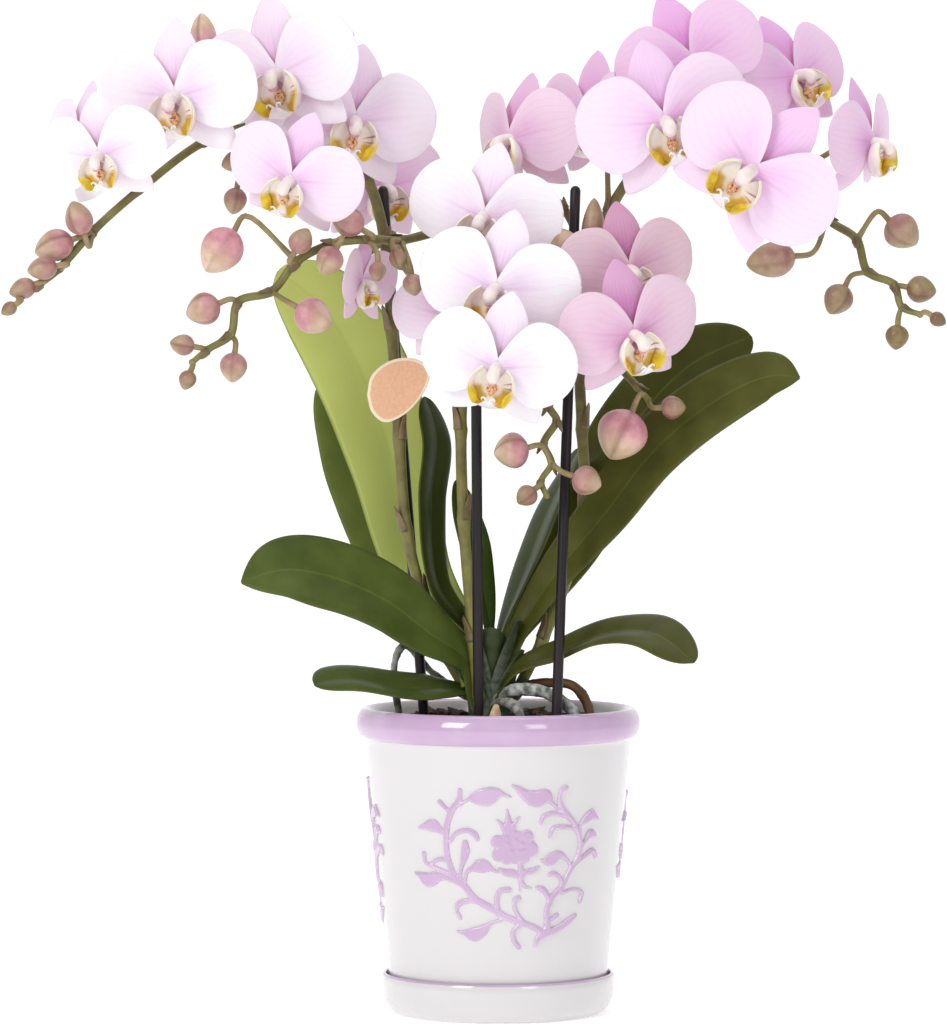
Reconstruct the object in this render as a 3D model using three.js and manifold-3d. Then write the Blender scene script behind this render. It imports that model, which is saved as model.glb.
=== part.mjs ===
// A moth orchid with three flower spikes, potted in a glazed ceramic pot on its saucer.
// Millimetres, +Z up. The origin is the middle of the saucer's underside, and the front faces -Y.
// Every petal, leaf and ornament is a formula on a coarse grid, so one bloom or leaf is one closed solid.

import * as THREE from "three";
import { mergeVertices } from "three/addons/utils/BufferGeometryUtils.js";
import Module from "manifold-3d";

const wasm = await Module();
wasm.setup();

// The pot and its saucer.
const POT_SIDES = 30; // facets round the pot, the saucer and the bark, so that their walls stay parallel
const POT_FLOOR_Z = 4.9;
const POT_FLOOR = 5;
const FOOT_RADIUS = 40;
const HEEL_RADIUS = 44;
const HEEL_Z = 14;
const BODY_TOP_RADIUS = 54;
const BEAD_Z = 111;
const BEAD_HEIGHT = 12;
const BEAD_RADIUS = 57.5;
const MOUTH_RADIUS = 50.3;
const MOUTH_Z = BEAD_Z + 6;
const WALL = 4;
const HOLLOW_Z = HEEL_Z + 2; // where the hollow narrows to the floor
const HOLLOW_RADIUS = HEEL_RADIUS - WALL + 0.5;
const FLOOR_RADIUS = FOOT_RADIUS - 3;
const DRAIN_RADIUS = 6;
const SAUCER_BASE_RADIUS = 42.5;
const SAUCER_RADIUS = 47.2;
const SAUCER_HEIGHT = 16;
const SAUCER_FLOOR = 4.5;
const SAUCER_LIP = 1.9;

// The raised ornament: three wreaths round the pot, the first turned a little to the right of the front.
const WREATHS = 3;
const WREATH_TURN = 7.5;
const WREATH_Z = 73;
const RELIEF_HEIGHT = 1.2;
const RELIEF_SINK = 0.8;
const RELIEF_RIM = -0.3; // a leaf's rim lies this far under the glaze
const VINE_RADIUS = 1.5;
const CURL_RADIUS = 1.1;

// What fills the pot and holds the plant up.
const BARK_TOP_Z = 116;
const BARK_CLEAR = 0.4;
const HOLE_CLEAR = 0.5;
const ROOT_CLEAR = 1.6;
const STAKE_RADIUS = 2.1;
const STAKE_FOOT_Z = 46;
const CROWN_RADIUS = 6;
const ROD_SIDES = 8;
const ROOT_SIDES = 5;

// The plant.
const STEM_RADIUS = 2.2;
const STEM_TIP_RADIUS = 1.8;
const PEDICEL_RADIUS = 1.1;
const STALK_SIDES = 3;
const STALK_SINK = 1.5; // how deep a bud sits on its stalk
const STALK_REACH = 6; // the straight end of a bloom's stalk
const STALK_SHARE = 0.35; // the straight end, at most, as a share of a bloom's stalk or of a bud's length
const JOIN_CLEAR = 0.3;
const TEPAL_THICKNESS = 0.8;
const LEAF_THICKNESS = 2;

const FINEST = 0.05; // corners nearer than this are made one

const COLOURS = {
  glaze: { color: 0xf2f0f0, roughness: 0.15 },
  bark: { color: 0x4a3426, roughness: 0.95 },
  stake: { color: 0x2a2226, roughness: 0.5 },
  card: { color: 0xebb994, roughness: 0.8 },
  root: { color: 0x9aa39a, roughness: 0.8 },
  leaf: { color: 0x4c6a22, roughness: 0.45 },
  stem: { color: 0x5a5535, roughness: 0.6 },
  petal: { color: 0xf3ddf0, roughness: 0.6 },
};

const vec = (x, y, z) => new THREE.Vector3(x, y, z);
const radians = THREE.MathUtils.degToRad;
const clamp01 = (x) => Math.min(1, Math.max(0, x));

const orchid = new THREE.Group();

// A closed geometry as a manifold solid.
function solidOf(geometry) {
  const bare = geometry.index ? geometry.toNonIndexed() : geometry.clone();
  bare.deleteAttribute("normal");
  bare.deleteAttribute("uv");
  const merged = mergeVertices(bare, 1e-4);
  const mesh = new wasm.Mesh({
    numProp: 3,
    vertProperties: merged.attributes.position.array,
    triVerts: new Uint32Array(merged.index.array),
  });
  return new wasm.Manifold(mesh);
}

// Pieces joined into one body: loose scraps are dropped, and a hollow that the joining seals is filled.
function fuse(solids) {
  const whole = wasm.Manifold.union(solids);
  return whole.decompose().reduce((a, b) => (a.volume() > b.volume() ? a : b));
}

function addNode(name, solid, colour) {
  const mesh = solid.simplify(FINEST).getMesh();
  const geometry = new THREE.BufferGeometry();
  geometry.setAttribute("position", new THREE.BufferAttribute(mesh.vertProperties, 3));
  geometry.setIndex(new THREE.BufferAttribute(mesh.triVerts, 1));
  geometry.computeVertexNormals();
  const node = new THREE.Mesh(geometry, new THREE.MeshStandardMaterial(colour));
  node.name = name;
  orchid.add(node);
}

// A geometry from its corners and the triangles that join them.
function facets(corners, index) {
  const places = corners.flatMap((p) => p.toArray());
  const geometry = new THREE.BufferGeometry();
  geometry.setAttribute("position", new THREE.Float32BufferAttribute(places, 3));
  geometry.setIndex(index);
  return geometry;
}

// A closed blade whose middle surface is at(u, v), with rows of u along it and columns of v across it.
// Both faces are split into the same triangles.
function blade(at, us, vs, thickness) {
  const step = 1e-3; // for the slopes that give the blade's facing
  const front = [];
  const back = [];
  for (const u of us)
    for (const v of vs) {
      const along = at(u + step, v).sub(at(u - step, v));
      const across = at(u, v + step).sub(at(u, v - step));
      const half = along.cross(across).normalize().multiplyScalar(thickness / 2);
      front.push(at(u, v).add(half));
      back.push(at(u, v).sub(half));
    }
  const rows = us.length;
  const columns = vs.length;
  const index = [];
  const id = (row, column, side) => row * columns + column + side * front.length;
  for (let row = 0; row + 1 < rows; row++)
    for (let column = 0; column + 1 < columns; column++)
      for (const side of [0, 1]) {
        const a = id(row, column, side);
        const b = id(row + 1, column, side);
        const c = id(row + 1, column + 1, side);
        const d = id(row, column + 1, side);
        index.push(...(side ? [a, c, b, a, d, c] : [a, b, c, a, c, d]));
      }
  const edge = [];
  for (let row = 0; row < rows - 1; row++) edge.push([row, 0]);
  for (let column = 0; column < columns - 1; column++) edge.push([rows - 1, column]);
  for (let row = rows - 1; row > 0; row--) edge.push([row, columns - 1]);
  for (let column = columns - 1; column > 0; column--) edge.push([0, column]);
  edge.forEach((p, i) => {
    const q = edge[(i + 1) % edge.length];
    const [pf, pb, qf, qb] = [id(...p, 0), id(...p, 1), id(...q, 0), id(...q, 1)];
    index.push(qf, pf, pb, qf, pb, qb);
  });
  return facets([...front, ...back], index);
}

// A smooth curve through points, stepped by point and not by length, so that steps fall on the points.
class Route extends THREE.CatmullRomCurve3 {
  getPointAt(t) {
    return this.getPoint(t);
  }
  getTangentAt(t) {
    return this.getTangent(t);
  }
}

// A round stem with few sides along a smooth curve through the points.
function cane(points, radius, sides, steps) {
  const section = new THREE.Shape();
  for (let i = 0; i < sides; i++) {
    const turn = (2 * Math.PI * i) / sides;
    const x = radius * Math.cos(turn);
    const y = radius * Math.sin(turn);
    if (i) section.lineTo(x, y);
    else section.moveTo(x, y);
  }
  return new THREE.ExtrudeGeometry(section, { extrudePath: new Route(points), steps, curveSegments: 1 });
}

// A turned piece from a closed profile of [radius, height] pairs.
function turned(profile, sides) {
  const points = profile.map(([r, z]) => new THREE.Vector2(r, z));
  return new THREE.LatheGeometry(points, sides).rotateX(Math.PI / 2);
}

// A piece made about its own +Y axis, stood at a point with that axis along a direction.
function stand(geometry, point, direction) {
  const turn = new THREE.Quaternion().setFromUnitVectors(vec(0, 1, 0), direction.clone().normalize());
  return geometry.applyQuaternion(turn).translate(point.x, point.y, point.z);
}

// Radius of the pot's outside at a height on its straight wall.
function potRadius(z) {
  const t = (z - HEEL_Z) / (BEAD_Z - HEEL_Z);
  return HEEL_RADIUS + t * (BODY_TOP_RADIUS - HEEL_RADIUS);
}

// One vine wreath round a pomegranate, in millimetres along the wall and up it from its middle.
const VINES = [
  [[12, -36], [3, -32], [-10, -26], [-21, -17], [-27, -6], [-27, 7], [-23, 15], [-21, 20]],
  [[9, -42], [14, -35], [14, -28], [20, -18], [27, -7], [27, 3], [20, 12], [18, 20]],
];
const CURLS = [
  [[-23, -16], [-34, -10], [-38, -5]],
  [[-14, -24], [-23, -25], [-23, -30]],
  [[14, -35], [22, -34], [28, -30]],
  [[25, 5], [18, 5], [14, 2]],
];
// Each leaf is its middle, its length, its width and the way that it points, in degrees.
const WREATH_LEAVES = [
  [-12, 18, 20, 7, 8], [-34, 5, 13, 5, 175], [-35, -15, 17, 6, 185], [-14, -10, 13, 5, 0],
  [-17, -36, 15, 5, 175], [17, -6, 13, 5, 0], [33, -6, 12, 4, 15], [33, 8, 11, 5, 20],
  [7, 18, 18, 7, 165], [-3, 8, 13, 7, 90], [2, -14, 12, 3, 90], [1, -13, 15, 4, 5],
];
const BERRIES = [[-30, 15], [-20, -2]];
const BERRY = 5;
const FRUIT = [-0.5, -2, 18, 17, 0];
const LEAF_POINTS = 4;
const FRUIT_POINTS = 8;
const VINE_STEPS = 6;
const CURL_STEPS = 2;

// A point of the wreath as a place on the pot's wall, raised by a height.
function onWall([s, up], raised, turn) {
  const z = WREATH_Z + up;
  const angle = turn + s / potRadius(WREATH_Z);
  const r = potRadius(z) + raised;
  return vec(r * Math.sin(angle), -r * Math.cos(angle), z);
}

// A raised lens on the wall: an oval of points with its middle raised in front and sunk behind.
function lens([s, up, length, width, way], points, turn) {
  const tilt = radians(way);
  const rim = [];
  for (let k = 0; k < points; k++) {
    const round = (2 * Math.PI * k) / points;
    const x = (length / 2) * Math.cos(round);
    const y = (width / 2) * Math.sin(round);
    const right = x * Math.cos(tilt) - y * Math.sin(tilt);
    const high = x * Math.sin(tilt) + y * Math.cos(tilt);
    const place = [s + right, up + high];
    rim.push(onWall(place, RELIEF_RIM, turn));
  }
  const corners = [onWall([s, up], RELIEF_HEIGHT, turn), onWall([s, up], -RELIEF_SINK, turn), ...rim];
  const index = [];
  for (let k = 0; k < points; k++) {
    const [a, b] = [2 + k, 2 + ((k + 1) % points)];
    index.push(0, a, b, 1, b, a);
  }
  return solidOf(facets(corners, index));
}

function pot() {
  const solids = [
    solidOf(
      turned(
        [
          [DRAIN_RADIUS, POT_FLOOR_Z],
          [FOOT_RADIUS, POT_FLOOR_Z],
          [HEEL_RADIUS - 1.2, POT_FLOOR_Z + 3.5],
          [HEEL_RADIUS, HEEL_Z],
          [BODY_TOP_RADIUS, BEAD_Z],
          [BEAD_RADIUS - 1, BEAD_Z + 1.5],
          [BEAD_RADIUS, BEAD_Z + 5],
          [BEAD_RADIUS - 3.5, BEAD_Z + BEAD_HEIGHT],
          [MOUTH_RADIUS, MOUTH_Z],
          [HOLLOW_RADIUS, HOLLOW_Z],
          [FLOOR_RADIUS, POT_FLOOR_Z + POT_FLOOR],
          [DRAIN_RADIUS, POT_FLOOR_Z + POT_FLOOR],
          [DRAIN_RADIUS, POT_FLOOR_Z],
        ],
        POT_SIDES,
      ),
    ),
  ];
  for (let i = 0; i < WREATHS; i++) {
    const turn = radians(WREATH_TURN + (360 / WREATHS) * i);
    const ridge = (points, thick, steps) =>
      solidOf(cane(points.map((p) => onWall(p, 0, turn)), thick, 3, steps));
    VINES.forEach((vine) => solids.push(ridge(vine, VINE_RADIUS, VINE_STEPS)));
    CURLS.forEach((curl) => solids.push(ridge(curl, CURL_RADIUS, CURL_STEPS)));
    WREATH_LEAVES.forEach((leaf) => solids.push(lens(leaf, LEAF_POINTS, turn)));
    BERRIES.forEach(([s, up]) => solids.push(lens([s, up, BERRY, BERRY, 45], LEAF_POINTS, turn)));
    solids.push(lens(FRUIT, FRUIT_POINTS, turn));
  }
  addNode("pot", fuse(solids), COLOURS.glaze);
}

function saucer() {
  const shape = turned(
    [
      [0, 0],
      [SAUCER_BASE_RADIUS, 0],
      [SAUCER_BASE_RADIUS + 3, 3],
      [SAUCER_RADIUS - 0.2, 8],
      [SAUCER_RADIUS, 13],
      [SAUCER_RADIUS - 1.2, SAUCER_HEIGHT],
      [SAUCER_RADIUS - SAUCER_LIP, SAUCER_HEIGHT - 0.5],
      [SAUCER_RADIUS - SAUCER_LIP - 0.3, 9],
      [SAUCER_BASE_RADIUS - 0.5, SAUCER_FLOOR],
      [0, SAUCER_FLOOR],
    ],
    POT_SIDES,
  );
  addNode("saucer", solidOf(shape), COLOURS.glaze);
}

// Stakes: the top and the place where each meets the bark.
const STAKES = [
  { name: "stake_left", top: [-47, 22, 334], low: [-30, 9, 118] },
  { name: "stake_middle", top: [-9, -24, 262], low: [-8, -24, 118] },
  { name: "stake_right", top: [31, -6, 333], low: [23, -27, 118] },
];

// Where a stake's line reaches down to inside the bark.
function stakeFoot({ top, low }) {
  const [a, b] = [vec(...top), vec(...low)];
  return b.clone().lerp(a, (STAKE_FOOT_Z - b.z) / (a.z - b.z));
}

function stakeRod(stake, radius) {
  const foot = stakeFoot(stake);
  const way = vec(...stake.top).sub(foot);
  const rod = new THREE.CylinderGeometry(radius, radius, way.length(), ROD_SIDES);
  return stand(rod, foot.add(vec(...stake.top)).multiplyScalar(0.5), way);
}

function stakes() {
  STAKES.forEach((stake) => {
    addNode(stake.name, solidOf(stakeRod(stake, STAKE_RADIUS)), COLOURS.stake);
  });
}

// The short stem of the plant with its roots, which dive into the bark.
const CROWN_AXIS = [-3, 0];
const CROWN_FOOT_Z = 88;
const CROWN_TOP_Z = 150;
const ROOT_STEPS = 7;
const ROOTS = [
  { radius: 2.2,
    points: [[-1, -3, 124], [4, -13, 130], [13, -16, 131], [21, -18, 129], [30, -22, 122], [32, -24, 106]] },
  { radius: 1.9,
    points: [[0, -1, 120], [9, -3, 131], [20, -5, 133], [30, -8, 132], [36, -13, 124], [37, -15, 106]] },
  { radius: 1.5,
    points: [[-5, 3, 124], [-16, 14, 128], [-27, 18, 136], [-38, 13, 147], [-42, 8, 140], [-38, 5, 106]] },
  { radius: 2,
    points: [[-4, -2, 122], [2, -16, 126], [8, -27, 123], [10, -31, 106]] },
];

function crown() {
  const tall = CROWN_TOP_Z - CROWN_FOOT_Z;
  const body = new THREE.CylinderGeometry(CROWN_RADIUS, CROWN_RADIUS - 1, tall, ROD_SIDES);
  const middle = vec(...CROWN_AXIS, CROWN_FOOT_Z + tall / 2);
  const solids = [solidOf(stand(body, middle, vec(0, 0, 1)))];
  ROOTS.forEach(({ radius, points }) => {
    solids.push(solidOf(cane(points.map((p) => vec(...p)), radius, ROOT_SIDES, ROOT_STEPS)));
  });
  addNode("crown_and_roots", fuse(solids), COLOURS.root);
}

// Bark chips fill the pot, with a plain hole for each stake, root and the crown.
const BARK_CHIPS = 6;
const CHIP_LENGTH = 13;
const CHIP_WIDTH = 9;
const CHIP_THICKNESS = 3.5;
const CHIP_TILT = 0.2;
const CHIP_TURN = 2.4; // from one chip to the next, in radians, as seeds turn in a sunflower
const CHIP_SPIN = 1.7; // how each lies, in radians from the last
const CHIP_REACH = 43;
const BARK_SHOULDER = 3; // its top edge is rounded off by this much
const HOLE_LENGTH = 60;
const HOLE_DEEPER = 1; // a hole goes this far below the piece that stands in it

// Radius of the bark's side, which follows the pot's hollow.
function barkRadius(z) {
  const t = (z - HOLLOW_Z) / (MOUTH_Z - HOLLOW_Z);
  return HOLLOW_RADIUS + t * (MOUTH_RADIUS - HOLLOW_RADIUS) - BARK_CLEAR;
}

function bark() {
  const low = POT_FLOOR_Z + POT_FLOOR + BARK_CLEAR;
  const heel = HOLLOW_Z + 0.5;
  const shoulder = BARK_TOP_Z - BARK_SHOULDER;
  const bed = turned(
    [
      [0, low],
      [FLOOR_RADIUS - BARK_CLEAR, low],
      [barkRadius(heel), heel],
      [barkRadius(shoulder), shoulder],
      [barkRadius(BARK_TOP_Z) - BARK_SHOULDER, BARK_TOP_Z],
      [0, BARK_TOP_Z],
    ],
    POT_SIDES,
  );
  const solids = [solidOf(bed)];
  for (let i = 0; i < BARK_CHIPS; i++) {
    const angle = CHIP_TURN * i;
    const r = CHIP_REACH * Math.sqrt((i + 0.5) / BARK_CHIPS);
    const chip = new THREE.BoxGeometry(CHIP_LENGTH - (i % 3), CHIP_WIDTH + (i % 3), CHIP_THICKNESS);
    chip.rotateY(CHIP_TILT * Math.sin(5 * i));
    chip.rotateX(CHIP_TILT * Math.cos(3 * i));
    chip.rotateZ(CHIP_SPIN * i);
    chip.translate(r * Math.cos(angle), r * Math.sin(angle), BARK_TOP_Z);
    solids.push(solidOf(chip));
  }
  const hole = (radius, sides, foot, way) => {
    const plug = new THREE.CylinderGeometry(radius, radius, HOLE_LENGTH, sides);
    const middle = foot.clone().addScaledVector(way, HOLE_LENGTH / 2 - HOLE_DEEPER);
    return solidOf(stand(plug, middle, way));
  };
  const holes = [hole(CROWN_RADIUS + HOLE_CLEAR, ROD_SIDES, vec(...CROWN_AXIS, CROWN_FOOT_Z), vec(0, 0, 1))];
  STAKES.forEach((stake) => {
    const foot = stakeFoot(stake);
    const rod = stakeRod(stake, STAKE_RADIUS + HOLE_CLEAR);
    const down = foot.clone().sub(vec(...stake.top)).setLength(HOLE_DEEPER);
    holes.push(solidOf(rod.translate(...down)));
  });
  ROOTS.forEach(({ radius, points }) => {
    const [enters, end] = points.slice(-2).map((p) => vec(...p));
    const way = enters.clone().sub(end).normalize();
    holes.push(hole(radius + ROOT_CLEAR, ROOT_SIDES, end, way));
  });
  addNode("growing_bark", fuse([fuse(solids).subtract(wasm.Manifold.union(holes))]), COLOURS.bark);
}

// The bare pebble-shaped card on the left stem, held by a loop round the stem at its back.
const TAG_OUTLINE = [
  [-13, -2], [-11, 6], [-3, 12], [7, 12.5], [12.5, 8], [10, -1], [2, -10], [-6, -13], [-11, -9],
];
const TAG_PLACE = [-40, 0.6, 251];
const TAG_TURN = -4;
const TAG_THICKNESS = 1;
const TAG_SIDES = 15;
const LOOP_PLACE = [-41.9, 4.2, 258];
const LOOP_INSIDE = 2.9;
const LOOP_OUTSIDE = 4.1;
const LOOP_HEIGHT = 2;

function tag() {
  const ring = [...TAG_OUTLINE, TAG_OUTLINE[0]].map((p) => new THREE.Vector2(...p));
  const shape = new THREE.Shape(new THREE.SplineCurve(ring).getPoints(TAG_SIDES + 1).slice(0, -1));
  const card = new THREE.ExtrudeGeometry(shape, { depth: TAG_THICKNESS, bevelEnabled: false });
  card.rotateX(Math.PI / 2).rotateZ(radians(TAG_TURN)).translate(...TAG_PLACE);
  const profile = [
    [LOOP_INSIDE, 0],
    [LOOP_OUTSIDE, 0],
    [LOOP_OUTSIDE, LOOP_HEIGHT],
    [LOOP_INSIDE, LOOP_HEIGHT],
    [LOOP_INSIDE, 0],
  ];
  const loop = turned(profile, ROD_SIDES).translate(...LOOP_PLACE);
  addNode("tag", fuse([solidOf(card), solidOf(loop)]), COLOURS.card);
}

// Each leaf: its middle line from the crown outward, its greatest width, the way that its upper face
// looks, and how sharp its tip is, where that isn't the blunt one.
const LEAVES = [
  { name: "leaf_front_left", width: 37, sharp: 0.85, face: [0.1, -0.75, 0.66],
    line: [
      [-12, -7, 141], [-28, -12, 153], [-45, -18, 166], [-67, -26, 176], [-85, -32, 179], [-102, -38, 175],
    ] },
  { name: "leaf_tall_left", width: 40, face: [0.25, -0.95, -0.1],
    line: [
      [-13, 11, 148], [-33, 29, 178], [-44, 35, 222], [-56, 38, 257], [-72, 41, 284], [-90, 40, 300],
    ] },
  { name: "leaf_back_left", width: 23, face: [0.2, -0.95, 0],
    line: [[-8, 17, 144], [-42, 41, 172], [-59, 49, 212], [-65, 52, 236], [-71, 54, 256]] },
  { name: "leaf_inner_left", width: 22, face: [0.85, -0.5, 0.1],
    line: [[-11, 4, 152], [-25, 5, 172], [-28, 9, 206], [-26, 11, 231], [-30, 14, 248]] },
  { name: "leaf_inner_middle", width: 15, face: [0.6, -0.8, 0.2],
    line: [[-4, 11, 155], [-7, 16, 172], [-11, 21, 192], [-17, 25, 214]] },
  { name: "leaf_low_left", width: 28, face: [0, -0.4, 0.92],
    line: [[-12, -1, 128], [-24, -8, 130], [-40, -16, 131], [-59, -26, 135], [-73, -34, 134]] },
  { name: "leaf_big_right", width: 31, sharp: 0.85, face: [-0.45, -0.75, 0.5],
    line: [
      [9, 3, 154], [25, 2, 178], [43, -2, 200], [63, -6, 226], [87, -12, 246], [108, -18, 256],
      [120, -24, 256],
    ] },
  { name: "leaf_back_right", width: 34, face: [-0.4, -0.85, 0.3],
    line: [[5, 20, 148], [32, 41, 186], [54, 49, 232], [79, 53, 260], [105, 54, 273]] },
  { name: "leaf_low_right", width: 28, face: [-0.1, -0.35, 0.93],
    line: [[6, -9, 137], [25, -8, 145], [45, -14, 153], [62, -25, 153], [77, -36, 143]] },
  { name: "leaf_inner_right", width: 26, face: [-0.92, -0.35, 0.2],
    line: [[2, 14, 152], [11, 23, 174], [22, 31, 202], [34, 38, 227]] },
];
const LEAF_ROWS = [0, 0.15, 0.32, 0.5, 0.68, 0.84, 0.97];
const LEAF_FOLD = 0.3; // how far the edges rise over the midrib at the neck, as a share of the half width
const LEAF_UNFOLD = 0.18; // how much of that the tip has lost
const NECK_SHARE = 0.34;
const BROADEST = 0.6; // where along the leaf it is broadest
const LEAF_END = 1.01; // where its edges would meet, just past its last row
const LEAF_CLOSING = 2.4; // a power: the higher, the longer the leaf stays broad
const BLUNT = 0.5; // a power: the higher, the sharper the tip

// Share of the greatest width at u along a leaf: a folded neck, a broad middle and a tip.
function leafWidth(u, sharp) {
  const neck = NECK_SHARE + (1 - NECK_SHARE) * Math.sin((Math.PI / 2) * clamp01(u / BROADEST));
  const past = Math.max(0, u - BROADEST) / (LEAF_END - BROADEST);
  return neck * clamp01(1 - past ** LEAF_CLOSING) ** sharp;
}

function leaves() {
  LEAVES.forEach(({ name, width, face, line, sharp = BLUNT }) => {
    const route = new THREE.CatmullRomCurve3(line.map((p) => vec(...p)));
    const look = vec(...face).normalize();
    const at = (u, v) => {
      const t = clamp01(u);
      const s = 2 * v - 1;
      const way = route.getTangent(t);
      const side = way.clone().cross(look).normalize();
      const up = side.clone().cross(way);
      const half = (width / 2) * leafWidth(u, sharp);
      const fold = LEAF_FOLD - LEAF_UNFOLD * t;
      const point = route.getPoint(t).addScaledVector(side, s * half);
      return point.addScaledVector(up, fold * half * Math.abs(s));
    };
    addNode(name, solidOf(blade(at, LEAF_ROWS, [0, 0.5, 1], LEAF_THICKNESS)), COLOURS.leaf);
  });
}

// Tepals: the way each points round the flower, in degrees from its right, with its length and its
// greatest width.
const TEPALS = [
  { angle: 12, length: 32, width: 34, widest: 0.56, claw: 0.15, front: 0.9, petal: true },
  { angle: 168, length: 32, width: 34, widest: 0.56, claw: 0.15, front: 0.9, petal: true },
  { angle: 90, length: 30, width: 18, widest: 0.55, claw: 0.2, front: -1.2 },
  { angle: -48, length: 29, width: 17, widest: 0.5, claw: 0.15, front: -1.2 },
  { angle: -132, length: 29, width: 17, widest: 0.5, claw: 0.15, front: -1.2 },
];
// Powers that shape a tepal's outline as it opens, as it closes and at its round tip.
const TEPAL_OPENING = 0.95;
const TEPAL_CLOSING = 2.3;
const TEPAL_TIP = 0.45;
const EDGE_SHORTER = 0.08; // how far its edges stay behind its middle line, as a share of its length
const EDGE_BACK = 0.06; // how far its edges curl back, as a share of its half width
// How far a tepal's middle line rises and falls, as shares of its length: a petal rises first.
const PETAL_RISE = 0.1;
const PETAL_FALL = 0.12;
const SEPAL_FALL = 0.1;
const PETAL_ROWS = [0.04, 0.22, 0.5, 0.78, 0.97];
const SEPAL_ROWS = [0.06, 0.55, 0.95];

// Half the width at u along a tepal: it opens from a narrow claw and closes in a round tip.
function tepalHalf({ width, widest, claw }, u) {
  const opening = claw + (1 - claw) * Math.sin((Math.PI / 2) * clamp01(u / widest)) ** TEPAL_OPENING;
  const past = Math.max(0, u - widest) / (1 - widest);
  return (width / 2) * opening * clamp01(1 - past ** TEPAL_CLOSING) ** TEPAL_TIP;
}

// A tepal's middle surface in the flower's own frame: x to its right, y up, z out of its face.
function tepalAt(tepal, sweep, u, v) {
  const s = 2 * v - 1;
  const half = tepalHalf(tepal, u);
  const out = tepal.length * u * (1 - EDGE_SHORTER * s * s);
  const arch = tepal.petal ? PETAL_RISE * u - PETAL_FALL * u * u : -SEPAL_FALL * u * u;
  const bow = -EDGE_BACK * half * s * s;
  const lean = radians(sweep);
  const rise = tepal.length * arch + bow;
  const x = out * Math.cos(lean) + rise * Math.sin(lean);
  const z = tepal.front + rise * Math.cos(lean) - out * Math.sin(lean);
  return vec(x, s * half, z).applyAxisAngle(vec(0, 0, 1), radians(tepal.angle));
}

// The lip: one wall that stands round the column's foot as an open ring, from its right horn by the bottom
// to its left horn. It is tallest at its two side lobes and at the bottom, where the middle lobe is drawn in.
const RING_MIDDLE = -7.2;
const RING_RADIUS = 8;
const RING_FLARE = 1.4;
const RING_LIFT = 2.8;
const RING_HEIGHT = 6.5;
const RING_HORN = 150; // degrees from the bottom to each horn
const RING_ROWS = [0, 0.26, 0.5, 0.74, 1];
const LOBE_REACH = -2; // how far the middle lobe's rim is drawn in
const LOBE_SPREAD = 17; // degrees to each side
// The wall's height at its horns, and what the side lobes and the middle lobe add, as shares of RING_HEIGHT.
const HORN_TALL = 0.55;
const SIDE_TALL = 0.45;
const LOBE_TALL = 0.5;

function lipAt(u, v) {
  const away = (1 - 2 * u) * RING_HORN;
  const lobe = Math.exp(-((away / LOBE_SPREAD) ** 2));
  const r = RING_RADIUS + v * (RING_FLARE + LOBE_REACH * lobe);
  const shoulder = Math.sin(Math.PI * clamp01(Math.abs(away) / RING_HORN));
  const tall = HORN_TALL + SIDE_TALL * shoulder + LOBE_TALL * lobe;
  const turn = radians(away - 90);
  return vec(r * Math.cos(turn), RING_MIDDLE + r * Math.sin(turn), RING_LIFT + RING_HEIGHT * v * tall);
}

// One flower, face up along +Z, its column running through the middle of its tepals as their hub.
const COLUMN_FOOT = 2.7;
const COLUMN_TIP = 1.7;
const COLUMN_BACK = 2.2;
const COLUMN_FRONT = 9;
const COLUMN_SIDES = 4;
const CLAW_BACK = 2.2; // the lip's claw joins the column to the far side of the ring
const CLAW_TIP = 1.4;
const CLAW_LENGTH = 13.4;
const CLAW_MIDDLE = -8.4;
const CLAW_SLOPE = 0.2;

function flower(sweep) {
  const solids = TEPALS.map((tepal) => {
    const [rows, columns] = tepal.petal ? [PETAL_ROWS, [0, 0.5, 1]] : [SEPAL_ROWS, [0, 1]];
    return solidOf(blade((u, v) => tepalAt(tepal, sweep, u, v), rows, columns, TEPAL_THICKNESS));
  });
  solids.push(solidOf(blade((u, v) => lipAt(1 - u, v), RING_ROWS, [0, 1], TEPAL_THICKNESS)));
  const column = new THREE.CylinderGeometry(
    COLUMN_TIP,
    COLUMN_FOOT,
    COLUMN_BACK + COLUMN_FRONT,
    COLUMN_SIDES,
  );
  solids.push(solidOf(stand(column, vec(0, 0, (COLUMN_FRONT - COLUMN_BACK) / 2), vec(0, 0, 1))));
  const claw = new THREE.CylinderGeometry(CLAW_TIP, CLAW_BACK, CLAW_LENGTH, 3);
  solids.push(solidOf(stand(claw, vec(0, CLAW_MIDDLE, RING_LIFT), vec(0, -1, CLAW_SLOPE))));
  return fuse(solids);
}

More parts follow.
